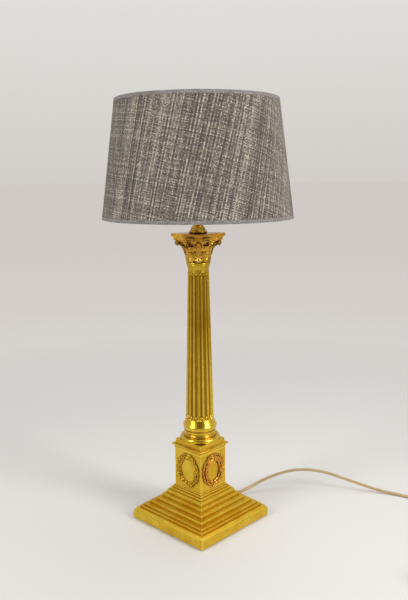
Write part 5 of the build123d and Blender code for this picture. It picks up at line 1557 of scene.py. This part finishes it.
@dataclass
class Cord:
    """Flex from the base to its switch and on to the plug, the spare length in a neat coil."""

    radius: float = 0.003
    lead: tuple[Point, ...] = (
        (0.0, 0.1195, 0.0092), (0.0, 0.143, 0.0092), (0.018, 0.182, 0.025), (0.056, 0.230, 0.042),
        (0.104, 0.265, 0.041), (0.157, 0.301, 0.021), (0.206, 0.330, 0.0054), (0.243, 0.3455, 0.00305),
        (0.279, 0.353, 0.00305), (0.308, 0.351, 0.0042), (0.33268, 0.344, 0.0096), (0.350, 0.334, 0.0096),
    )
    tail: tuple[Point, ...] = (
        (0.40369, 0.303, 0.0096), (0.41928, 0.294, 0.0096), (0.434, 0.275, 0.0056),
        (0.4415, 0.252, 0.00305),
    )
    end: tuple[Point, ...] = (
        (0.4390, 0.206, 0.00955), (0.4365, 0.178, 0.01415), (0.44116, 0.15541, 0.0182),
        (0.446, 0.136, 0.0182),
    )
    coil_centre: Pair = (0.400, 0.225)
    coil_radius: float = 0.0415
    turn_pitch: float = 0.0065
    marks_per_turn: int = 14
    point_reach: float = 1.025  # the curve runs a little inside its control points

    def coil(self) -> list[Point]:
        """Points of the coil: two and a half turns inwards, half a turn up, two outwards on top."""
        points = []
        low = self.radius + 0.00005
        for index in range(5 * self.marks_per_turn + 1):
            turn = index / self.marks_per_turn
            climb = min(1.0, max(0.0, (turn - 2.5) / 0.5))
            inner = self.coil_radius - 2.5 * self.turn_pitch
            size = inner + self.turn_pitch * (turn - 3.0)
            if turn < 3.0:
                size = self.coil_radius - self.turn_pitch * min(turn, 2.5)
            size *= self.point_reach
            angle, (x, y) = -2 * pi * turn, self.coil_centre
            points.append((x + size * cos(angle), y + size * sin(angle), low + climb * self.turn_pitch))
        return points

    def line(self, name: str, points: Sequence[Point]) -> bpy.types.Object:
        """One stretch of cord as a smooth curve with those control points."""
        curve = bpy.data.curves.new(name, "CURVE")
        curve.dimensions = "3D"
        curve.bevel_depth = self.radius
        curve.bevel_resolution = 5
        curve.resolution_u = 8
        curve.use_fill_caps = True
        spline = curve.splines.new("NURBS")
        spline.points.add(len(points) - 1)
        for point, place in zip(spline.points, points):
            point.co = (*place, 1.0)
        spline.order_u = 3
        spline.use_endpoint_u = True
        piece = bpy.data.objects.new(name, curve)
        bpy.context.scene.collection.objects.link(piece)
        log.info("laid %s over %d points", name, len(points))
        return piece

    def build(self, wardrobe: Wardrobe) -> None:
        lead = self.line("flex_to_switch", self.lead)
        rest = self.line("flex_to_plug", [*self.tail, *self.coil(), *self.end])
        for piece in (lead, rest):
            wardrobe.dress(piece, Slot.GOLD_CORD)
        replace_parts(lead, "cord_lead")
        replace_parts(rest, "cord_tail", "cord_coil", "cord_end")
        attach(lead, Body.LAMP.value)
        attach(rest, Body.LAMP.value)
        2 * self.radius
        2 * self.radius


# ---------------------------------------------------------------- camera, floor and lights


@dataclass
class PhotoCamera:
    """Camera at the photograph's place: angles in degrees, lengths in metres, lens in millimetres."""

    heading: float = 44.266
    distance: float = 1.2874
    height: float = 0.6661
    yaw: float = 0.440
    dip: float = 10.156
    roll: float = -0.492
    lens: float = 41.87
    sensor: float = 36.0

    def build(self) -> bpy.types.Object:
        """Makes the camera and hands it to the scene."""
        yaw, dip, roll = radians(self.yaw), radians(self.dip), radians(self.roll)
        ahead = Vector((sin(yaw) * cos(dip), cos(yaw) * cos(dip), -sin(dip)))
        across = Vector((cos(yaw), -sin(yaw), 0.0))
        upward = across.cross(ahead)
        right = cos(roll) * across + sin(roll) * upward
        up = cos(roll) * upward - sin(roll) * across
        turn = Matrix.Rotation(radians(self.heading), 4, "Z")
        axes = Matrix((right, up, -ahead)).transposed().to_4x4()
        data = bpy.data.cameras.new("photo_camera")
        data.lens = self.lens
        data.sensor_width = self.sensor
        data.clip_start = 0.01
        camera = bpy.data.objects.new("photo_camera", data)
        bpy.context.scene.collection.objects.link(camera)
        camera.matrix_world = turn @ Matrix.Translation((0.0, -self.distance, self.height)) @ axes
        bpy.context.scene.camera = camera
        return camera


@dataclass
class Softbox:
    """Large soft lamp, placed by its turn from the camera's side, in degrees to the right."""

    name: str
    turn: float
    distance: float
    height: float
    width: float
    tall: float
    power: float
    aim: float = 0.35
    colour: Colour = (1.0, 0.985, 0.96)

    def build(self, heading: float) -> None:
        """Makes the lamp.

        Args:
            heading: the camera's heading round the lamp, in degrees.
        """
        data = bpy.data.lights.new(self.name, "AREA")
        data.shape = "RECTANGLE"
        data.size, data.size_y = self.width, self.tall
        data.energy = self.power
        data.color = self.colour
        light = bpy.data.objects.new(self.name, data)
        bearing = radians(heading - 90 + self.turn)
        place = Vector((self.distance * cos(bearing), self.distance * sin(bearing), self.height))
        light.location = place
        light.rotation_mode = "QUATERNION"
        light.rotation_quaternion = (Vector((0, 0, self.aim)) - place).to_track_quat("-Z", "Y")
        light.visible_camera = False
        bpy.context.scene.collection.objects.link(light)


@dataclass
class Studio:
    """Pale floor, pale surroundings and soft lamps."""

    fill: float = 0.4
    fill_colour: Colour = (1.0, 0.99, 0.975)
    horizon: Colour = (0.625, 0.59, 0.565)
    above: Colour = (0.755, 0.74, 0.715)
    room: Colour = (0.10, 0.085, 0.065)
    floor_colour: Colour = (0.765, 0.755, 0.74)
    floor_tones: tuple[tuple[float, Colour], ...] = (
        (0.0, (0.75, 0.74, 0.72)), (0.12, (0.70, 0.68, 0.655)), (0.35, (0.655, 0.62, 0.595)),
        (1.0, (0.625, 0.59, 0.565)),
    )
    floor_radius: float = 60.0
    floor_drop: float = 0.0002
    softboxes: tuple[Softbox, ...] = (
        Softbox("left_softbox", -55.0, 1.9, 1.25, 0.65, 1.3, 18.5),
        Softbox("right_softbox", 56.0, 1.9, 1.30, 0.7, 1.4, 28.5),
        Softbox("top_softbox", 150.0, 0.5, 2.3, 1.6, 1.6, 14.0),
    )

    def world(self, heading: float) -> None:
        """Surroundings: pale to the camera, pale behind and dim before the lamp in its metal.

        Args:
            heading: the camera's heading round the lamp, in degrees.
        """
        world = bpy.data.worlds.new("pale_room")
        bpy.context.scene.world = world
        world.use_nodes = True
        world.node_tree.nodes.clear()
        graph = NodeGraph(world.node_tree)
        direction = graph.get("ShaderNodeTexCoord", "Generated")
        upward = graph.split(direction)[2]
        wall = graph.mix(graph.between(upward, -0.05, 0.24), self.horizon, self.above)
        bearing = radians(heading - 90)
        ins = {0: direction, 1: (cos(bearing), sin(bearing), 0.0)}
        towards = graph.get("ShaderNodeVectorMath", "Value", ins, operation="DOT_PRODUCT")
        before = graph.between(towards, -0.45, 0.75, interpolation_type="SMOOTHSTEP")
        dimmed = graph.math("MAXIMUM", before, graph.between(upward, 0.35, 0.8, 0.0, 0.75))
        rays = graph.add("ShaderNodeLightPath").outputs
        mirrored = graph.math("MAXIMUM", rays["Is Glossy Ray"], rays["Is Transmission Ray"])
        fill = graph.get("ShaderNodeBackground", ins={"Color": self.fill_colour, "Strength": self.fill})
        seen = graph.get("ShaderNodeBackground", ins={"Color": wall})
        reflected = graph.get("ShaderNodeBackground", ins={"Color": graph.mix(dimmed, wall, self.room)})
        unseen = graph.get("ShaderNodeMixShader", ins={0: mirrored, 1: fill, 2: reflected})
        chosen = graph.get("ShaderNodeMixShader", ins={0: rays["Is Camera Ray"], 1: unseen, 2: seen})
        graph.add("ShaderNodeOutputWorld", {"Surface": chosen})

    def floor(self) -> None:
        """Wide pale floor: keeps the shadow near the lamp, takes the wall's tone further out."""
        shape = bmesh.new()
        bmesh.ops.create_circle(shape, cap_ends=True, segments=96, radius=self.floor_radius)
        bmesh.ops.translate(shape, verts=shape.verts, vec=(0, 0, -self.floor_drop))
        piece = placed("pale_floor", mesh_of(shape, "pale_floor", recalculate=False))
        graph = ShaderGraph("pale_paper")
        place = graph.place()
        clouds = graph.between(graph.noise(place, 1.3), 0.35, 0.65)
        tint = graph.mix(clouds, self.floor_colour, tuple(0.975 * c for c in self.floor_colour))
        graph.surface(base_color=tint, roughness=0.85, specular_ior_level=0.2)
        distance = graph.get("ShaderNodeVectorMath", "Value", {0: place}, operation="LENGTH")
        tone = graph.ramp(graph.between(distance, 0.5, 5.5), self.floor_tones)
        glow = graph.get("ShaderNodeEmission", ins={"Color": tone})
        ins = {0: graph.between(distance, 0.55, 1.6), 1: graph.shader.outputs["BSDF"], 2: glow}
        graph.feed(graph.output.inputs["Surface"], graph.get("ShaderNodeMixShader", ins=ins))
        piece.data.materials.append(graph.material)

    def build(self, heading: float) -> None:
        """Makes the room and its lamps."""
        self.world(heading)
        self.floor()
        for softbox in self.softboxes:
            softbox.build(heading)
        bpy.context.scene.view_settings.view_transform = "Standard"


# ---------------------------------------------------------------- the whole lamp


def main() -> None:
    """Builds the scene in order."""
    logging.basicConfig(level=logging.INFO, format="%(message)s")
    camera = PhotoCamera()
    camera.build()
    wardrobe = Wardrobe()
    Cord().build(wardrobe)
    wardrobe.dress_solids()
    FeltPad().build(wardrobe)
    Wreath(Side.FRONT, Slot.WREATH_BRASS).build(wardrobe)
    Wreath.full(Side.RIGHT, 41).build(wardrobe)
    Wreath(Side.BACK, Slot.WREATH_BRASS, seed=77).build(wardrobe)
    Wreath.full(Side.LEFT, 113).build(wardrobe)
    FlutedShaft().build(wardrobe)
    Capital().build(wardrobe)
    Shade().build(wardrobe)
    Studio().build(camera.heading)


if __name__ == "__main__":
    main()
